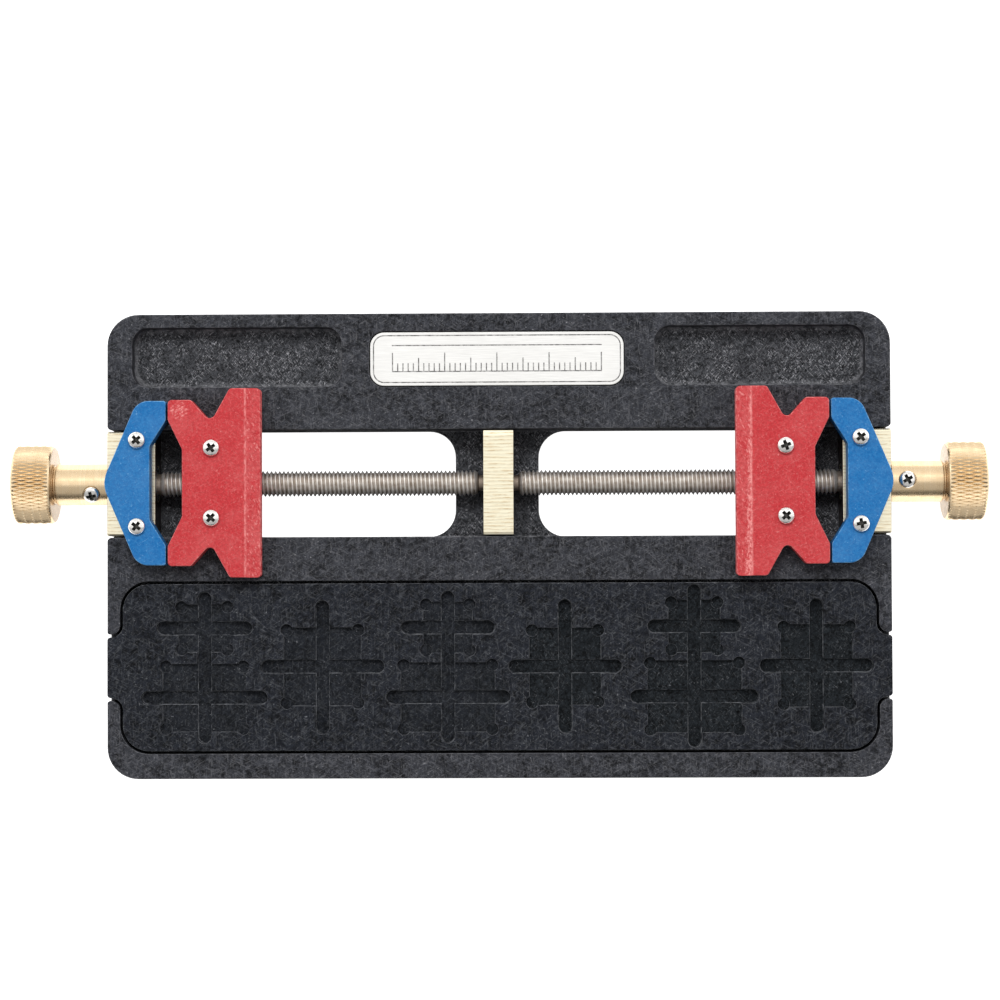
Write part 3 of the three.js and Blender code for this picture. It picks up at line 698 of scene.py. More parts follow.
def build_base():
    loop = rectangle(0, 0, BASE_LENGTH, BASE_WIDTH, BASE_CORNER_R)
    base = make("base_plate_piece", raised(loop, solid_profile(0, BASE_TOP, 0.5, 0.35)))
    lower, upper = tray_corners(TRAY_GAP)
    recess = lower + mouth(TAB_HALF + TRAY_GAP, TAB_END_R) + upper
    recess_floor = TRAY_LOW.z - 0.05
    shapes = [
        raised(both_ends(mouth(CHANNEL_HALF, MOUTH_R), CHANNEL_Y),
               pocket_profile(CHANNEL_FLOOR, BASE_TOP, 0.4, 0.3)),
        raised(both_ends(recess, TRAY_Y), pocket_profile(recess_floor, BASE_TOP, 0.3, 0.15)),
    ]
    for side in (-1, 1):
        inner = SLOT_INNER[side]
        x = side * (inner + SLOT_OUTER) / 2
        slot = rectangle(x, CHANNEL_Y, SLOT_OUTER - inner, 2 * CHANNEL_HALF, SLOT_R)
        shapes.append(raised(slot, through_profile(0, CHANNEL_FLOOR, 0.4, 0.3), (1, 0)))
        t = PARTS_TRAY
        bin_loop = rectangle(side * t["x"], t["y"], t["length"], t["width"], t["r"])
        bin_profile = pocket_profile(BASE_TOP - t["depth"], BASE_TOP, BIN_FLOOR_R, 0.22)
        shapes.append(raised(bin_loop, bin_profile))
    length = PLATE_HIGH.x - PLATE_LOW.x + 2 * PLATE_GAP
    width = PLATE_HIGH.y - PLATE_LOW.y + 2 * PLATE_GAP
    x, y = (PLATE_HIGH.x + PLATE_LOW.x) / 2, (PLATE_HIGH.y + PLATE_LOW.y) / 2
    plate_loop = rectangle(x, y, length, width, PLATE_R + PLATE_GAP)
    shapes.append(raised(plate_loop, pocket_profile(BASE_TOP - PLATE_RECESS_DEPTH, BASE_TOP, 0.1, 0.15)))
    for node in RECORD["behaviour"]["bodies"]["base"]:
        if "block_screw" in node:
            low, high = mm_box(node)
            x, y = (low.x + high.x) / 2, (low.y + high.y) / 2
            bore = [(0.3, -1), (0.3, 0), (0, 0.3), (0, COUNTERBORE_DEPTH)]
            shapes.append(raised(circle(x, y, COUNTERBORE_R), bore))
            hole = [(0, 1), (0, CHANNEL_FLOOR + 0.6)]
            shapes.append(raised(circle(x, y, BASE_SCREW_HOLE_R, 24), hole))
    combine(base, cutters(shapes))
    smooth(base)
    finish(base, "base_plate", STONE)


def pocket_shapes():
    """Cutters for the chip pockets: shallow pads with round corner reliefs, and deeper arms."""
    pad = pocket_profile(BASE_TOP - PAD_DEPTH, BASE_TOP, 0.12, 0.1)
    relief = pocket_profile(BASE_TOP - PAD_DEPTH - 0.12, BASE_TOP, 0.12, 0.1)
    arm = pocket_profile(BASE_TOP - ARM_DEPTH, BASE_TOP, 0.3, 0.12)
    arm_r = ARM_WIDTH / 2 - 0.01
    shapes = []
    for x, upright, pads in CHIP_POCKETS:
        shapes.append(raised(rectangle(x, TRAY_Y, ARM_WIDTH, upright, arm_r), arm))
        for along, length, width, reach in pads:
            y = TRAY_Y + along
            shapes.append(raised(rectangle(x, y, length, width, 0.3), pad))
            shapes.append(raised(rectangle(x, y, reach, ARM_WIDTH, arm_r), arm))
            for side in (-1, 1):
                for end in (-1, 1):
                    corner_x = x + side * (length / 2 - RELIEF_INSET)
                    corner_y = y + end * (width / 2 - RELIEF_INSET)
                    shapes.append(raised(circle(corner_x, corner_y, RELIEF_R, 28), relief))
    return shapes


def build_tray():
    lower, upper = tray_corners(0)
    tab = [(BASE_END, -TAB_HALF, TAB_END_R), (BASE_END, TAB_HALF, TAB_END_R)]
    loop = both_ends(lower + tab + upper, TRAY_Y)
    tray = make("chip_tray_piece", raised(loop, solid_profile(TRAY_LOW.z, TRAY_HIGH.z, 0.3, 0.15)))
    combine(tray, cutters(pocket_shapes()))
    smooth(tray)
    finish(tray, "chip_tray", TRAY_STONE)


def build_nameplate():
    """A stamped plate with a border groove and a plain graduated scale."""
    low, high = PLATE_LOW, PLATE_HIGH
    x, y = (low.x + high.x) / 2, (low.y + high.y) / 2
    length, width = high.x - low.x, high.y - low.y
    loop = rectangle(x, y, length, width, PLATE_R)
    plate = make("nameplate_piece", raised(loop, solid_profile(low.z, high.z, 0.05, 0.15)))
    depth, line = 0.12, 0.22
    groove = [(0, high.z - depth), (0, high.z + 1)]
    shapes = []
    border_inset = 0.55
    outer = rectangle(x, y, length - 2 * border_inset, width - 2 * border_inset, PLATE_R - border_inset)
    inner_inset = border_inset + line
    inner = rectangle(x, y, length - 2 * inner_inset, width - 2 * inner_inset, PLATE_R - inner_inset)
    frame_cut = make("cutter_frame", raised(outer, groove))
    combine(frame_cut, [make("cutter_inner", raised(inner, [(0, 0), (0, high.z + 2)]))])
    scale_length, pitch, count = 40.0, 1.0, 41
    first = x - scale_length / 2
    base_line, upper_line = y - 2.4, y + 2.6
    shapes.append(raised(rectangle(x, base_line, scale_length + 0.2, line, 0.05), groove))
    for i in range(count):
        tall = 3.6 if i % 10 == 0 else 2.6 if i % 5 == 0 else 1.6
        tick = rectangle(first + i * pitch, base_line + tall / 2, line, tall, 0.05)
        shapes.append(raised(tick, groove))
    shapes.append(raised(rectangle(x, upper_line, scale_length + 0.2, line, 0.05), groove))
    combine(plate, cutters(shapes) + [frame_cut])
    smooth(plate)
    finish(plate, "nameplate", SILVER)


# ---- brass blocks ------------------------------------------------------------------------------


def bar_block(name, node_box, place, holes, back=BLOCK_CHAMFER, front=BLOCK_CHAMFER):
    """A length of bar along X at y 0, with its long top edges chamfered and holes cut in it."""
    low, high = node_box
    half = (high.y - low.y) / 2
    section = outline([
        (half, low.z, 0.25), (half, high.z - back[1], 0.12), (half - back[0], high.z, 0.3),
        (front[0] - half, high.z, 0.3), (-half, high.z - front[1], 0.12), (-half, low.z, 0.25),
    ], math.radians(20))
    along_x = Matrix(((0, 0, 1, 0), (1, 0, 0, 0), (0, 1, 0, 0), (0, 0, 0, 1)))
    x0, x1 = sorted((abs(low.x), abs(high.x))) if low.x * high.x > 0 else (low.x, high.x)
    shape = raised(section, solid_profile(x0, x1, 0.12, 0.12))
    block = make(name, shape, place @ along_x)
    combine(block, cutters(holes, place))
    smooth(block)
    return block


def bore_along_x(x0, x1, radius):
    """A round cutter along X on the lead screws' axis."""
    verts, faces = stack(turned_rings([(x0, radius), (x1, radius)], even_angles(48)))
    return [(x, y, height + AXIS_Z) for x, y, height in verts], faces


PAN_HOLE_R, BASE_HOLE_R = 1.0, 1.28
CENTRE_BORE_R, BLOCK_BORE_R, NUT_BORE_R = 1.6, 2.1, 2.65
ABOVE_BLOCKS, BELOW_BLOCKS = 14, 3


def screw_places(node):
    """Where a screw stands in the right-hand end's frame: x, y, and its lowest and highest z."""
    low, high = mm_box(node)
    return abs((low.x + high.x) / 2), abs((low.y + high.y) / 2 - CHANNEL_Y), low.z, high.z


def pan_hole(node, side):
    """A cutter for a screw from above, behind (1) or in front (-1) of the channel's middle."""
    x, y, bottom, _ = screw_places(node)
    return raised(circle(x, side * y, PAN_HOLE_R, 24), [(0, bottom - 0.3), (0, ABOVE_BLOCKS)])


def base_hole(node, side):
    """The same for a screw from below."""
    x, y, _, top = screw_places(node)
    return raised(circle(x, side * y, BASE_HOLE_R, 24), [(0, BELOW_BLOCKS), (0, top + 0.2)])


def build_blocks():
    holes = []
    for side in (-1, 1):
        low, high = sorted((side * 0.5, side * 4))
        holes.append(bore_along_x(low, high, CENTRE_BORE_R))
        holes.append(base_hole("centre_block_screw_back", side))
    block = bar_block(
        "centre_block_piece", mm_box("centre_block"), end_frame("right"), holes,
        CENTRE_CHAMFER_BACK, CENTRE_CHAMFER_FRONT,
    )
    finish(block, "centre_block", MILLED)

    for end in ("right", "left"):
        node = f"{end}_end_block"
        ring_low, ring_high = mm_box("right_bearing_outer_ring")
        pocket_r = (ring_high.z - ring_low.z) / 2 + 0.05
        low, high = mm_box("right_end_block")
        holes = [
            bore_along_x(low.x - 1, ring_high.x + 0.05, pocket_r),
            bore_along_x(low.x - 1, high.x + 1, BLOCK_BORE_R),
        ]
        for side in (-1, 1):
            holes.append(pan_hole("right_end_plate_screw_back", side))
            holes.append(base_hole("right_end_block_screw_back", side))
        block = bar_block(f"{end}_end_block_piece", mm_box(node), end_frame(end), holes)
        finish(block, node, MILLED)

        node = f"{end}_jaw_nut"
        low, high = mm_box("right_jaw_nut")
        holes = [bore_along_x(low.x - 1, high.x + 1, NUT_BORE_R)]
        holes += [pan_hole("right_jaw_screw_back", side) for side in (-1, 1)]
        nut = bar_block(f"{end}_jaw_nut_piece", mm_box(node), end_frame(end), holes)
        finish(nut, node, MILLED)


# ---- coloured plates ---------------------------------------------------------------------------

PLATE_HOLE_R = 1.15
PLATE_EDGE_R = 0.22


def mirrored(upper, nose=()):
    """A loop through nose, the corners behind the channel's middle and their mirror images."""
    lower = [(x, -y, radius) for x, y, radius in reversed(upper)]
    return outline([*nose, *upper, *lower])


def plate_holes(node, bottom, top):
    shapes = []
    for side in (-1, 1):
        x, y, _, _ = screw_places(node)
        profile = through_profile(bottom, top, 0.1, 0.15)
        shapes.append(raised(circle(x, side * y, PLATE_HOLE_R, 28), profile))
    return shapes


def build_end_plate(end):
    low, high = mm_box("right_end_plate")
    inner, apex = low.x, high.x + 0.49  # the apex before its corner is rounded
    half = (high.y - low.y) / 2
    upper = [
        (68.67, half, 3.3),
        (inner, half, 0.5),
        (inner, 11.9, 1.2),
        (66.3, 7.0, 1.2),
    ]
    loop = mirrored(upper, [(apex, 0, 5.5)])
    shape = raised(loop, solid_profile(low.z, high.z, PLATE_EDGE_R, PLATE_EDGE_R))
    plate = make(f"{end}_end_plate_piece", shape, end_frame(end))
    holes = plate_holes("right_end_plate_screw_back", low.z, high.z)
    combine(plate, cutters(holes, end_frame(end)))
    smooth(plate)
    finish(plate, f"{end}_end_plate", BLUE)


JAW_RIDGE, JAW_BEVEL_DROP = 3.0, 1.0
GROOVE_ABOVE, GROOVE_HEIGHT, GROOVE_DEPTH = 0.9, 1.2, 1.0


def build_jaw_plate(end):
    low, high = mm_box("right_jaw_plate")
    front, back = low.x, high.x
    half = (high.y - low.y) / 2
    loop = mirrored([
        (60.1, 6.4, 0.8),
        (back, 12.0, 0.8),
        (back, 15.8, 0.8),
        (58.4, 15.8, 0.8),
        (54.6, 11.55, 1.1),
        (51.0, half, 0.8),
        (front, half, 0.8),
    ])
    shape = raised(loop, solid_profile(low.z, high.z, PLATE_EDGE_R, PLATE_EDGE_R))
    plate = make(f"{end}_jaw_plate_piece", shape, end_frame(end))
    # bevel from the ridge down to the front edge, rounded where it meets the front face
    front_top = high.z - JAW_BEVEL_DROP
    wide = half + 2
    section = outline([
        (front + JAW_RIDGE + 3, high.z + 2, 0),
        (front - 3, high.z + 2, 0),
        (front - 3, front_top - 0.3, 0),
        (front - 0.004, front_top - 0.3, 0),
        (front - 0.004, front_top - 0.02, 0.28),
        (front + JAW_RIDGE, high.z, 2.0),
        (front + JAW_RIDGE + 3, high.z + 0.003, 0),
    ])
    along_y = Matrix(((1, 0, 0, 0), (0, 0, -1, 0), (0, 1, 0, 0), (0, 0, 0, 1)))
    bevel = raised(section, [(0, -wide), (0, wide)])
    bevel = ([along_y @ Vector(v) for v in bevel[0]], bevel[1])
    groove_z = low.z + GROOVE_ABOVE
    groove_loop = outline([
        (front + GROOVE_DEPTH, groove_z, 0.15),
        (front + GROOVE_DEPTH, groove_z + GROOVE_HEIGHT, 0.15),
        (front + 0.12, groove_z + GROOVE_HEIGHT, 0.12),
        (front - 1, groove_z + GROOVE_HEIGHT + 1.1, 0),
        (front - 1, groove_z - 1.1, 0),
        (front + 0.12, groove_z, 0.12),
    ], math.radians(20))
    groove = raised(groove_loop, [(0, -wide), (0, wide)])
    groove = ([along_y @ Vector(v) for v in groove[0]], groove[1])
    shapes = [bevel, groove] + plate_holes("right_jaw_screw_back", low.z, high.z)
    combine(plate, cutters(shapes, end_frame(end)))
    smooth(plate, 12)
    finish(plate, f"{end}_jaw_plate", RED)


# ---- threads, rods and screws ------------------------------------------------------------------


def threaded(before, start, end, crest_r, pitch, after, sides=28):
    """A turned piece along X with a right-hand thread between start and end.

    before and after are the (x, radius) steps of the plain parts at each end, outermost first and
    outermost last. The thread fades in and out over its first and last turn.
    """
    depth = 0.54 * pitch
    root_r = crest_r - depth
    steps = [(0.0, 1.0), (0.125, 1.0), (0.44, 0.0), (0.69, 0.0)]  # share of pitch, share of depth
    per_turn = len(steps)
    turns = int((end - start - 0.05) / pitch) - 1
    thread_x = end - pitch * (turns + 1) - 0.02
    angles = even_angles(sides)
    rings = turned_rings(before + [(start, root_r)], angles)
    verts = [point for ring in rings for point in ring]
    faces = [tuple(range(sides))]

    def band(first, second):
        for k in range(sides):
            after_k = (k + 1) % sides
            faces.append((first + after_k, first + k, second + k, second + after_k))

    for level in range(len(rings) - 1):
        band(level * sides, (level + 1) * sides)
    ring = (len(rings) - 1) * sides
    rows = turns * per_turn + 1
    thread = len(verts)
    for row in range(rows + per_turn):
        turn, phase = divmod(row, per_turn)
        share, height = steps[phase]
        for k in range(sides if row < rows else 1):
            travel = turn + k / sides
            along = travel + share
            fade = max(0.0, min(1.0, 2 * along, 2.5 * (turns + 1 - along)))
            radius = root_r + depth * height * fade
            x = thread_x + pitch * along
            verts.append((x, radius * math.cos(angles[k]), radius * math.sin(angles[k])))

    def at(row, k):
        if k == sides:
            row, k = row + per_turn, 0
        if row < rows:
            return thread + row * sides + k
        return thread + rows * sides + row - rows

    for row in range(rows - 1):
        for k in range(sides):
            faces.append((at(row, k + 1), at(row, k), at(row + 1, k), at(row + 1, k + 1)))
    for k in range(sides - 1):
        faces.append((ring + k + 1, ring + k, at(0, k), at(0, k + 1)))
    opening = [at(row, 0) for row in range(per_turn + 1)]
    faces.append(tuple([ring, ring + sides - 1, at(0, sides - 1)] + opening[::-1]))

    last = len(verts)
    tail = turned_rings([(end, root_r)] + after, angles)
    verts += [point for tail_ring in tail for point in tail_ring]
    for k in range(sides - 1):
        faces.append((at(rows - 1, k + 1), at(rows - 1, k), last + k, last + k + 1))
    closing = [at(rows - 1 + row, 0) for row in range(per_turn + 1)]
    faces.append(tuple([at(rows - 1, sides - 1), last + sides - 1, last] + closing))
    for level in range(len(tail) - 1):
        band(last + level * sides, last + (level + 1) * sides)
    top = last + (len(tail) - 1) * sides
    faces.append(tuple(reversed(range(top, top + sides))))
    return verts, faces


def on_axis(place):
    """Lifts a piece drawn about X onto the lead screws' height."""
    return place @ Matrix.Translation((0, 0, AXIS_Z))


LEAD = 0.8
PIVOT_R, JOURNAL_R = 1.5, 1.98  # the ends that run in the centre block and in the knob


def build_lead_screw(end):
    low, high = ROD_LOW, ROD_HIGH
    crest_r = (high.z - low.z) / 2
    tip, shoulder = low.x, 4.0
    journal, thread_end = high.x, 65.0
    before = [
        (tip, PIVOT_R - 0.25), (tip + 0.25, PIVOT_R), (shoulder - 0.35, PIVOT_R),
        (shoulder - 0.2, PIVOT_R), (shoulder, 1.85),
    ]
    after = [(thread_end + 0.15, JOURNAL_R), (journal - 0.4, JOURNAL_R), (journal, 1.6)]
    shape = threaded(before, shoulder + 0.02, thread_end, crest_r, LEAD, after, 36)
    rod = make(f"{end}_lead_screw_piece", shape, on_axis(end_frame(end)))
    smooth(rod, 40)
    finish(rod, f"{end}_lead_screw", ROD)


def cross_recess(top, across, depth):
    """Cutters for a cross recess in a head whose crown is at x = top, about the X axis."""
    shapes = []
    for turned in (False, True):
        rings = []
        for x, length, width in ((top - depth, across * 0.36, across * 0.2),
                                 (top - depth * 0.75, across * 0.6, across * 0.24),
                                 (top + 0.05, across, across * 0.31),
                                 (top + 0.5, across, across * 0.31)):
            half, thin = length / 2, width / 2
            corners = [(half, thin), (half, -thin), (-half, -thin), (-half, thin)]
            rings.append([(x, b, a) if turned else (x, a, b) for a, b in corners])
        shapes.append(stack(rings))
    return shapes


def mark_shade_and_dirt(screw, place, crown, head_r, head_height):
    """Marks the faces inside the cross recess, for the material to colour near black as painted shade with
    some dirt.
    """
    mesh = screw.data
    home = place.inverted()
    shade_and_dirt = mesh.color_attributes.new(SHADE_AND_DIRT, "FLOAT_COLOR", "CORNER")
    for face in mesh.polygons:
        middle = home @ (face.center / MM)
        away = math.hypot(middle.y, middle.z)
        inside = away < head_r * 0.72 and crown - head_height < middle.x < crown - head_height * 0.17
        tone = 1.0 if inside else 0.0
        for corner in face.loop_indices:
            shade_and_dirt.data[corner].color = (tone, tone, tone, 1)


# Screw sizes as (head radius, head height, shank radius, pitch).
PLATE_SCREW, BASE_SCREW = (1.63, 1.1, 0.95, 0.4), (2.3, 1.5, 1.2, 0.45)


def pan_screw(name, low, high, size, place, turn):
    """A pan-head screw about X, from its tip at low to its crown at high."""
    head_r, head_height, shank_r, pitch = size
    under = high - head_height
    head = [
        (under, shank_r - 0.1), (under + 0.02, head_r - 0.1), (under + 0.1, head_r),
        (under + head_height * 0.42, head_r), (under + head_height * 0.62, head_r * 0.94),
        (under + head_height * 0.8, head_r * 0.8), (under + head_height * 0.93, head_r * 0.55),
        (high, head_r * 0.25), (high, head_r * 0.05),
    ]
    tip = [(low, shank_r * 0.55)]
    shape = threaded(tip, low + 0.3, under - 0.25, shank_r, pitch, head, 32)
    spin = Matrix.Rotation(math.radians(turn), 4, "X")
    screw = make(name, shape, place @ spin)
    combine(screw, cutters(cross_recess(high, head_r * 1.3, head_height * 0.8), place @ spin))
    smooth(screw, 38)
    mark_shade_and_dirt(screw, place, high, head_r, head_height)
    return screw


UPRIGHT = Matrix(((0, 0, -1, 0), (0, 1, 0, 0), (1, 0, 0, 0), (0, 0, 0, 1)))  # X becomes +Z
HANGING = Matrix(((0, 0, 1, 0), (0, 1, 0, 0), (-1, 0, 0, 0), (0, 0, 0, 1)))  # X becomes -Z

# How far each cross recess happens to be turned, in degrees.
RECESS_TURN = {
    "left_end_plate_screw_back": 40, "left_end_plate_screw_front": 52,
    "right_end_plate_screw_back": 38, "right_end_plate_screw_front": 10,
    "left_jaw_screw_back": 35, "left_jaw_screw_front": 48,
    "right_jaw_screw_back": 20, "right_jaw_screw_front": 42,
    "left_knob_screw": 12, "right_knob_screw": 30,
}


def build_upright_screws():
    for node, body in BODY_OF.items():
        low, high = mm_box(node)
        x, y = (low.x + high.x) / 2, (low.y + high.y) / 2
        if "plate_screw" in node or "jaw_screw" in node:
            place = Matrix.Translation((x, y, 0)) @ UPRIGHT
            screw = pan_screw(f"{node}_piece", low.z, high.z, PLATE_SCREW, place, RECESS_TURN[node])
            finish(screw, node, NICKEL)
        elif "block_screw" in node:
            place = Matrix.Translation((x, y, 0)) @ HANGING
            turn = 25 + 7 * x  # no two alike
            screw = pan_screw(f"{node}_piece", -high.z, -low.z, BASE_SCREW, place, turn)
            finish(screw, node, PLAIN_SCREW)


SET_SCREW_TILT = {"right": 3, "left": 31}
SET_SCREW_SEAT, SET_SCREW_TIP = 3.6, 2.3


def set_screw_frame(end):
    """X runs out of the knob's stem along the set screw."""
    low, high = mm_box("right_knob_screw")
    tilt = Matrix.Rotation(math.radians(-SET_SCREW_TILT[end]), 4, "X")
    middle = (low.x + high.x) / 2
    return on_axis(end_frame(end)) @ Matrix.Translation((middle, 0, 0)) @ tilt @ UPRIGHT


def build_set_screw(end):
    node = f"{end}_knob_screw"
    crown = SET_SCREW_SEAT + PLATE_SCREW[1]
    place = set_screw_frame(end)
    screw = pan_screw(
        f"{node}_piece", SET_SCREW_TIP, crown, PLATE_SCREW, place, RECESS_TURN[node],
    )
    finish(screw, node, NICKEL)


# ---- knobs and bearings ------------------------------------------------------------------------

KNURL_STARTS, KNURL_ROWS = 60, 2
KNURL_DEPTH, KNURL_FLAT = 0.26, 0.16


def knurled_head(before, x0, x1, peak_r, after):
    """A turned piece about X with a diamond knurl between x0 and x1.

    Grooves cross at the nodes of a skewed grid, and a blunt pyramid stands between each four.
    """
    columns, levels = 2 * KNURL_STARTS, 2 * KNURL_ROWS
    half_turn = 2 * math.pi / columns
    half_step = (x1 - x0) / levels

    def point(a, b, radius):
        t = a * half_turn
        return (x0 + b * half_step, radius * math.cos(t), radius * math.sin(t))

    verts, faces, found = [], [], {}

    def vertex(a, b, radius):
        key = (round(a % columns, 4), round(b, 4))
        if key not in found:
            found[key] = len(verts)
            verts.append(point(a, b, radius))
        return found[key]

    groove_r, s = peak_r - KNURL_DEPTH, KNURL_FLAT
    for b in range(levels + 1):
        for a in range(columns):
            if (a + b) % 2 == 0:
                continue
            valley = {"left": (a - 1, b), "right": (a + 1, b), "low": (a, b - 1), "high": (a, b + 1)}
            top = {"left": (a - s, b), "right": (a + s, b), "low": (a, b - s), "high": (a, b + s)}
            sides = [("high", "left"), ("right", "high"), ("left", "low"), ("low", "right")]
            cut_off = {0: "low", levels: "high"}.get(b)
            for first, second in sides:
                if cut_off in (first, second):
                    continue
                faces.append((
                    vertex(*valley[first], groove_r), vertex(*valley[second], groove_r),
                    vertex(*top[second], peak_r), vertex(*top[first], peak_r),
                ))
            crown = [k for k in ("right", "high", "left", "low") if k != cut_off]
            faces.append(tuple(vertex(*top[k], peak_r) for k in crown))

    angles = []
    for a in range(1, columns, 2):
        angles += [(a - s) * half_turn, (a + s) * half_turn, (a + 1) * half_turn]

    def rim(b):
        ids = []
        for a in range(1, columns, 2):
            # at b 0 and at the last level the pyramids stand on odd columns
            ids += [vertex(a - s, b, peak_r), vertex(a + s, b, peak_r), vertex(a + 1, b, groove_r)]
        return ids

    def rings(profile, first):
        previous = first
        for ring in turned_rings(profile, angles):
            ids = list(range(len(verts), len(verts) + len(ring)))
            verts.extend(ring)
            for k in range(len(ids)):
                after_k = (k + 1) % len(ids)
                faces.append((previous[k], previous[after_k], ids[after_k], ids[k]))
            previous = ids
        faces.append(tuple(previous))

    low_rim = rim(0)
    high_rim = rim(levels)
    rings(before, low_rim)
    rings(after, high_rim)
    return verts, faces


def build_knob(end):
    low, high = mm_box("right_knob")
    head_r = (high.z - low.z) / 2
    stem_start, face = low.x, high.x
    head_face, neck_x = 85.55, 85.1
    stem_r, neck_r, bore_r, bore_end = 4.0, 3.6, 2.02, 82.3
    rim = 0.6
    before = [
        (head_face + 0.35, head_r - 0.12), (head_face + 0.12, head_r - 0.3), (head_face, head_r - 0.6),
        (head_face, neck_r + 0.1), (head_face - 0.1, neck_r), (neck_x + 0.1, neck_r),
        (neck_x, stem_r - 0.1), (neck_x - 0.12, stem_r), (stem_start + 0.15, stem_r),
        (stem_start, stem_r - 0.15), (stem_start, bore_r + 0.15), (stem_start + 0.15, bore_r),
        (bore_end, bore_r), (bore_end + 0.4, 0.3),
    ]
    after = [
        (face - 0.35, head_r - 0.1), (face - 0.14, head_r - 0.28), (face, head_r - rim),
        (face, 1.6), (face - 0.15, 1.3), (face - 0.3, 0.3),
    ]
    shape = knurled_head(before, head_face + rim, face - rim, head_r, after)
    knob = make(f"{end}_knob_piece", shape, on_axis(end_frame(end)))
    seat = turned_rings([(SET_SCREW_SEAT - 0.05, 1.73), (6.5, 1.73)], even_angles(36))
    hole = turned_rings([(1.0, 1.0), (6.5, 1.0)], even_angles(28))
    combine(knob, cutters([stack(seat), stack(hole)], set_screw_frame(end)))
    smooth(knob, 24)
    finish(knob, f"{end}_knob", TURNED)


def closed_lathe(section, sides=64):
    """A ring about X from a closed (x, radius) section."""
    rings = turned_rings(section, even_angles(sides))
    verts = [point for ring in rings for point in ring]
    faces = []
    count = len(rings)
    for i in range(count):
        here, there = i * sides, (i + 1) % count * sides
        for k in range(sides):
            after_k = (k + 1) % sides
            faces.append((here + k, here + after_k, there + after_k, there + k))
    return verts, faces


BALLS, BALL_R, BALL_PITCH_R = 7, 0.37, 2.75
OUTER_LAND_R, INNER_LAND_R, INNER_BORE_R = 3.03, 2.47, 2.02


def race_section(x0, x1, land_r, far_r):
    """The section of a bearing ring with a round ball groove in its land."""
    middle, groove_r = (x0 + x1) / 2, BALL_R + 0.04
    groove = []
    for k in range(9):
        t = math.radians(-52 + 13 * k)
        away = groove_r * math.cos(t) * (1 if land_r > BALL_PITCH_R else -1)
        groove.append((middle + groove_r * math.sin(t), BALL_PITCH_R + away))
    edge = 0.12 if far_r > land_r else -0.12
    return [(x0, far_r - edge), (x0, land_r)] + groove + [
        (x1, land_r), (x1, far_r - edge), (x1 - 0.12, far_r), (x0 + 0.12, far_r),
    ]


def build_bearing(end):
    low, high = mm_box("right_bearing_outer_ring")
    x0, x1 = low.x, high.x
    middle = (x0 + x1) / 2
    outer_r = (high.z - low.z) / 2
    place = on_axis(end_frame(end))
    rings = (("outer", OUTER_LAND_R, outer_r), ("inner", INNER_LAND_R, INNER_BORE_R))
    for ring, land_r, far_r in rings:
        section = race_section(x0, x1, land_r, far_r)
        obj = make(f"{end}_bearing_{ring}_ring_piece", closed_lathe(section), place)
        smooth(obj)
        finish(obj, f"{end}_bearing_{ring}_ring", BEARING)

    half_band = 0.12
    inner, outer = BALL_PITCH_R - half_band, BALL_PITCH_R + half_band
    band = [(middle - 0.1, inner), (middle - 0.1, outer), (middle + 0.84, outer), (middle + 0.84, inner)]
    cage = make(f"{end}_bearing_ball_cage_piece", closed_lathe(band, 56), place)
    balls = []
    for k in range(BALLS):
        t = 2 * math.pi * k / BALLS
        arc = [(middle - BALL_R * math.cos(math.pi * j / 12), BALL_R * math.sin(math.pi * j / 12))
               for j in range(1, 12)]
        shift = Matrix.Translation((0, BALL_PITCH_R * math.cos(t), BALL_PITCH_R * math.sin(t)))
        ball = stack(turned_rings(arc, even_angles(20)))
        balls.append(make(f"ball_{k}", ball, place @ shift))
    combine(cage, balls, "UNION")
    smooth(cage, 30)
    finish(cage, f"{end}_bearing_ball_cage", BEARING)


# ---- build -------------------------------------------------------------------------------------

build_base()
build_tray()
build_nameplate()
build_blocks()
build_upright_screws()
for end_name in ("right", "left"):
    build_end_plate(end_name)
    build_jaw_plate(end_name)
    build_lead_screw(end_name)
    build_set_screw(end_name)
    build_knob(end_name)
    build_bearing(end_name)


# ---- floor, light and camera -------------------------------------------------------------------


def build_floor():
    half = 1500
    loop = rectangle(0, 0, 2 * half, 2 * half, 0)
    floor = make("floor", raised(loop, [(0, -5), (0, -0.02)]))
    s = Shader("light_table", Roughness=0.9, Emission_Strength=1.0)
    tone = s.noise(s.mapped(), 0.01, 2.0)
    s.colour(s.mix(s.ramp(tone, 0.3, 0.7), (0.5, 0.5, 0.5), (0.52, 0.52, 0.52)))
    s.shader.inputs["Emission Color"].default_value = (1, 1, 1, 1)
    floor.data.materials.append(s.material)

    # a black card under the base, hidden from the camera, is painted shade: it stands in for the base's
    # shadow on the table in the channel metal's reflections, keeping the table's glow out of them
    card_loop = rectangle(0, 0, BASE_LENGTH - 2, BASE_WIDTH - 2, BASE_CORNER_R)
    shade_card = make("shade_card", raised(card_loop, [(0, -0.016), (0, -0.008)]))
    black = Shader("painted_shade_card", Roughness=0.9)
    felt = black.noise(black.mapped(), 2.0)
    black.colour(black.mix(felt, (0.01, 0.01, 0.01), (0.02, 0.02, 0.02)))
    shade_card.data.materials.append(black.material)
    shade_card.visible_camera = False
    shade_card.visible_shadow = False
    shade_card.visible_diffuse = False


def soft_light(name, place, target, size, power):
    light = bpy.data.lights.new(name, "AREA")
    light.shape = "RECTANGLE"
    light.size, light.size_y = size
    light.energy = power
    obj = bpy.data.objects.new(name, light)
    obj.location = place
    aim = Vector(target) - Vector(place)
    obj.rotation_euler = aim.to_track_quat("-Z", "Y").to_euler()
    bpy.context.scene.collection.objects.link(obj)
    # the metal mirrors the room alone, so that its highlights stay soft
    obj.visible_glossy = False


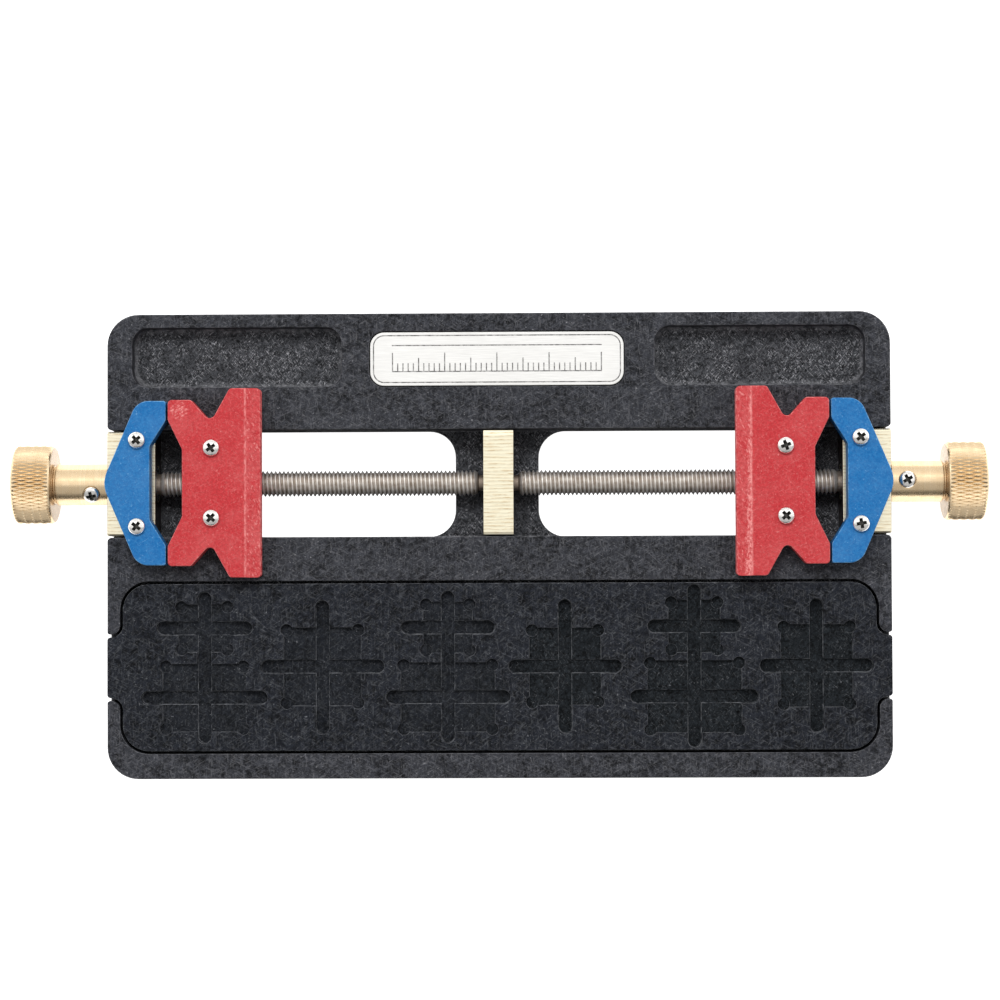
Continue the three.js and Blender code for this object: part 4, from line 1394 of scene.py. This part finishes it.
# How bright the room is from its front (0) through overhead (0.5) to its back (1).
ROOM_STRENGTH = 1.8
ROOM_TONES = [
    (0.0, 0.05), (0.05, 0.07), (0.12, 0.28), (0.42, 0.31),
    (0.48, 0.60), (0.66, 0.63), (0.73, 1.0), (0.79, 0.62), (1.0, 0.49),
]


def build_world():
    """A pale room, brighter behind the vise than in front of it."""
    world = bpy.data.worlds.new("studio")
    bpy.context.scene.world = world
    world.use_nodes = True
    nodes, links = world.node_tree.nodes, world.node_tree.links
    coordinates = nodes.new("ShaderNodeTexCoord")
    split = nodes.new("ShaderNodeSeparateXYZ")
    span = nodes.new("ShaderNodeMapRange")
    span.inputs["From Min"].default_value = -1
    tones = nodes.new("ShaderNodeValToRGB")
    stops = tones.color_ramp.elements
    while len(stops) < len(ROOM_TONES):
        stops.new(0.5)
    for stop, (place, tone) in zip(stops, ROOM_TONES):
        stop.position = place
        stop.color = (tone, tone, tone, 1)
    links.new(coordinates.outputs["Generated"], split.inputs[0])
    links.new(split.outputs["Y"], span.inputs["Value"])
    links.new(span.outputs[0], tones.inputs["Fac"])
    links.new(tones.outputs["Color"], nodes["Background"].inputs["Color"])
    nodes["Background"].inputs["Strength"].default_value = ROOM_STRENGTH


# In metres.
CAMERA_PLACE = Vector((0.00808, -0.00416, 0.52805))
CAMERA_FORWARD = Vector((-0.01508, 0.02473, -0.99958))
CAMERA_UP = Vector((0.00432, 0.99969, 0.02466))


def build_camera():
    """Nearly straight above, leaning a little towards the back and the left."""
    camera = bpy.data.cameras.new("camera")
    camera.sensor_width = 36
    camera.lens = 97.2
    camera.clip_start, camera.clip_end = 0.01, 20
    obj = bpy.data.objects.new("camera", camera)
    forward = CAMERA_FORWARD.normalized()
    right = forward.cross(CAMERA_UP).normalized()
    up = right.cross(forward)
    turn = Matrix((right, up, -forward)).transposed()
    obj.matrix_world = Matrix.Translation(CAMERA_PLACE) @ turn.to_4x4()
    bpy.context.scene.collection.objects.link(obj)
    bpy.context.scene.camera = obj


build_floor()
build_world()
soft_light("key", place=(-0.05, 0.45, 0.75), target=(0, 0, 0), size=(0.3, 0.25), power=4.5)
build_camera()
bpy.context.scene.view_settings.view_transform = "Standard"
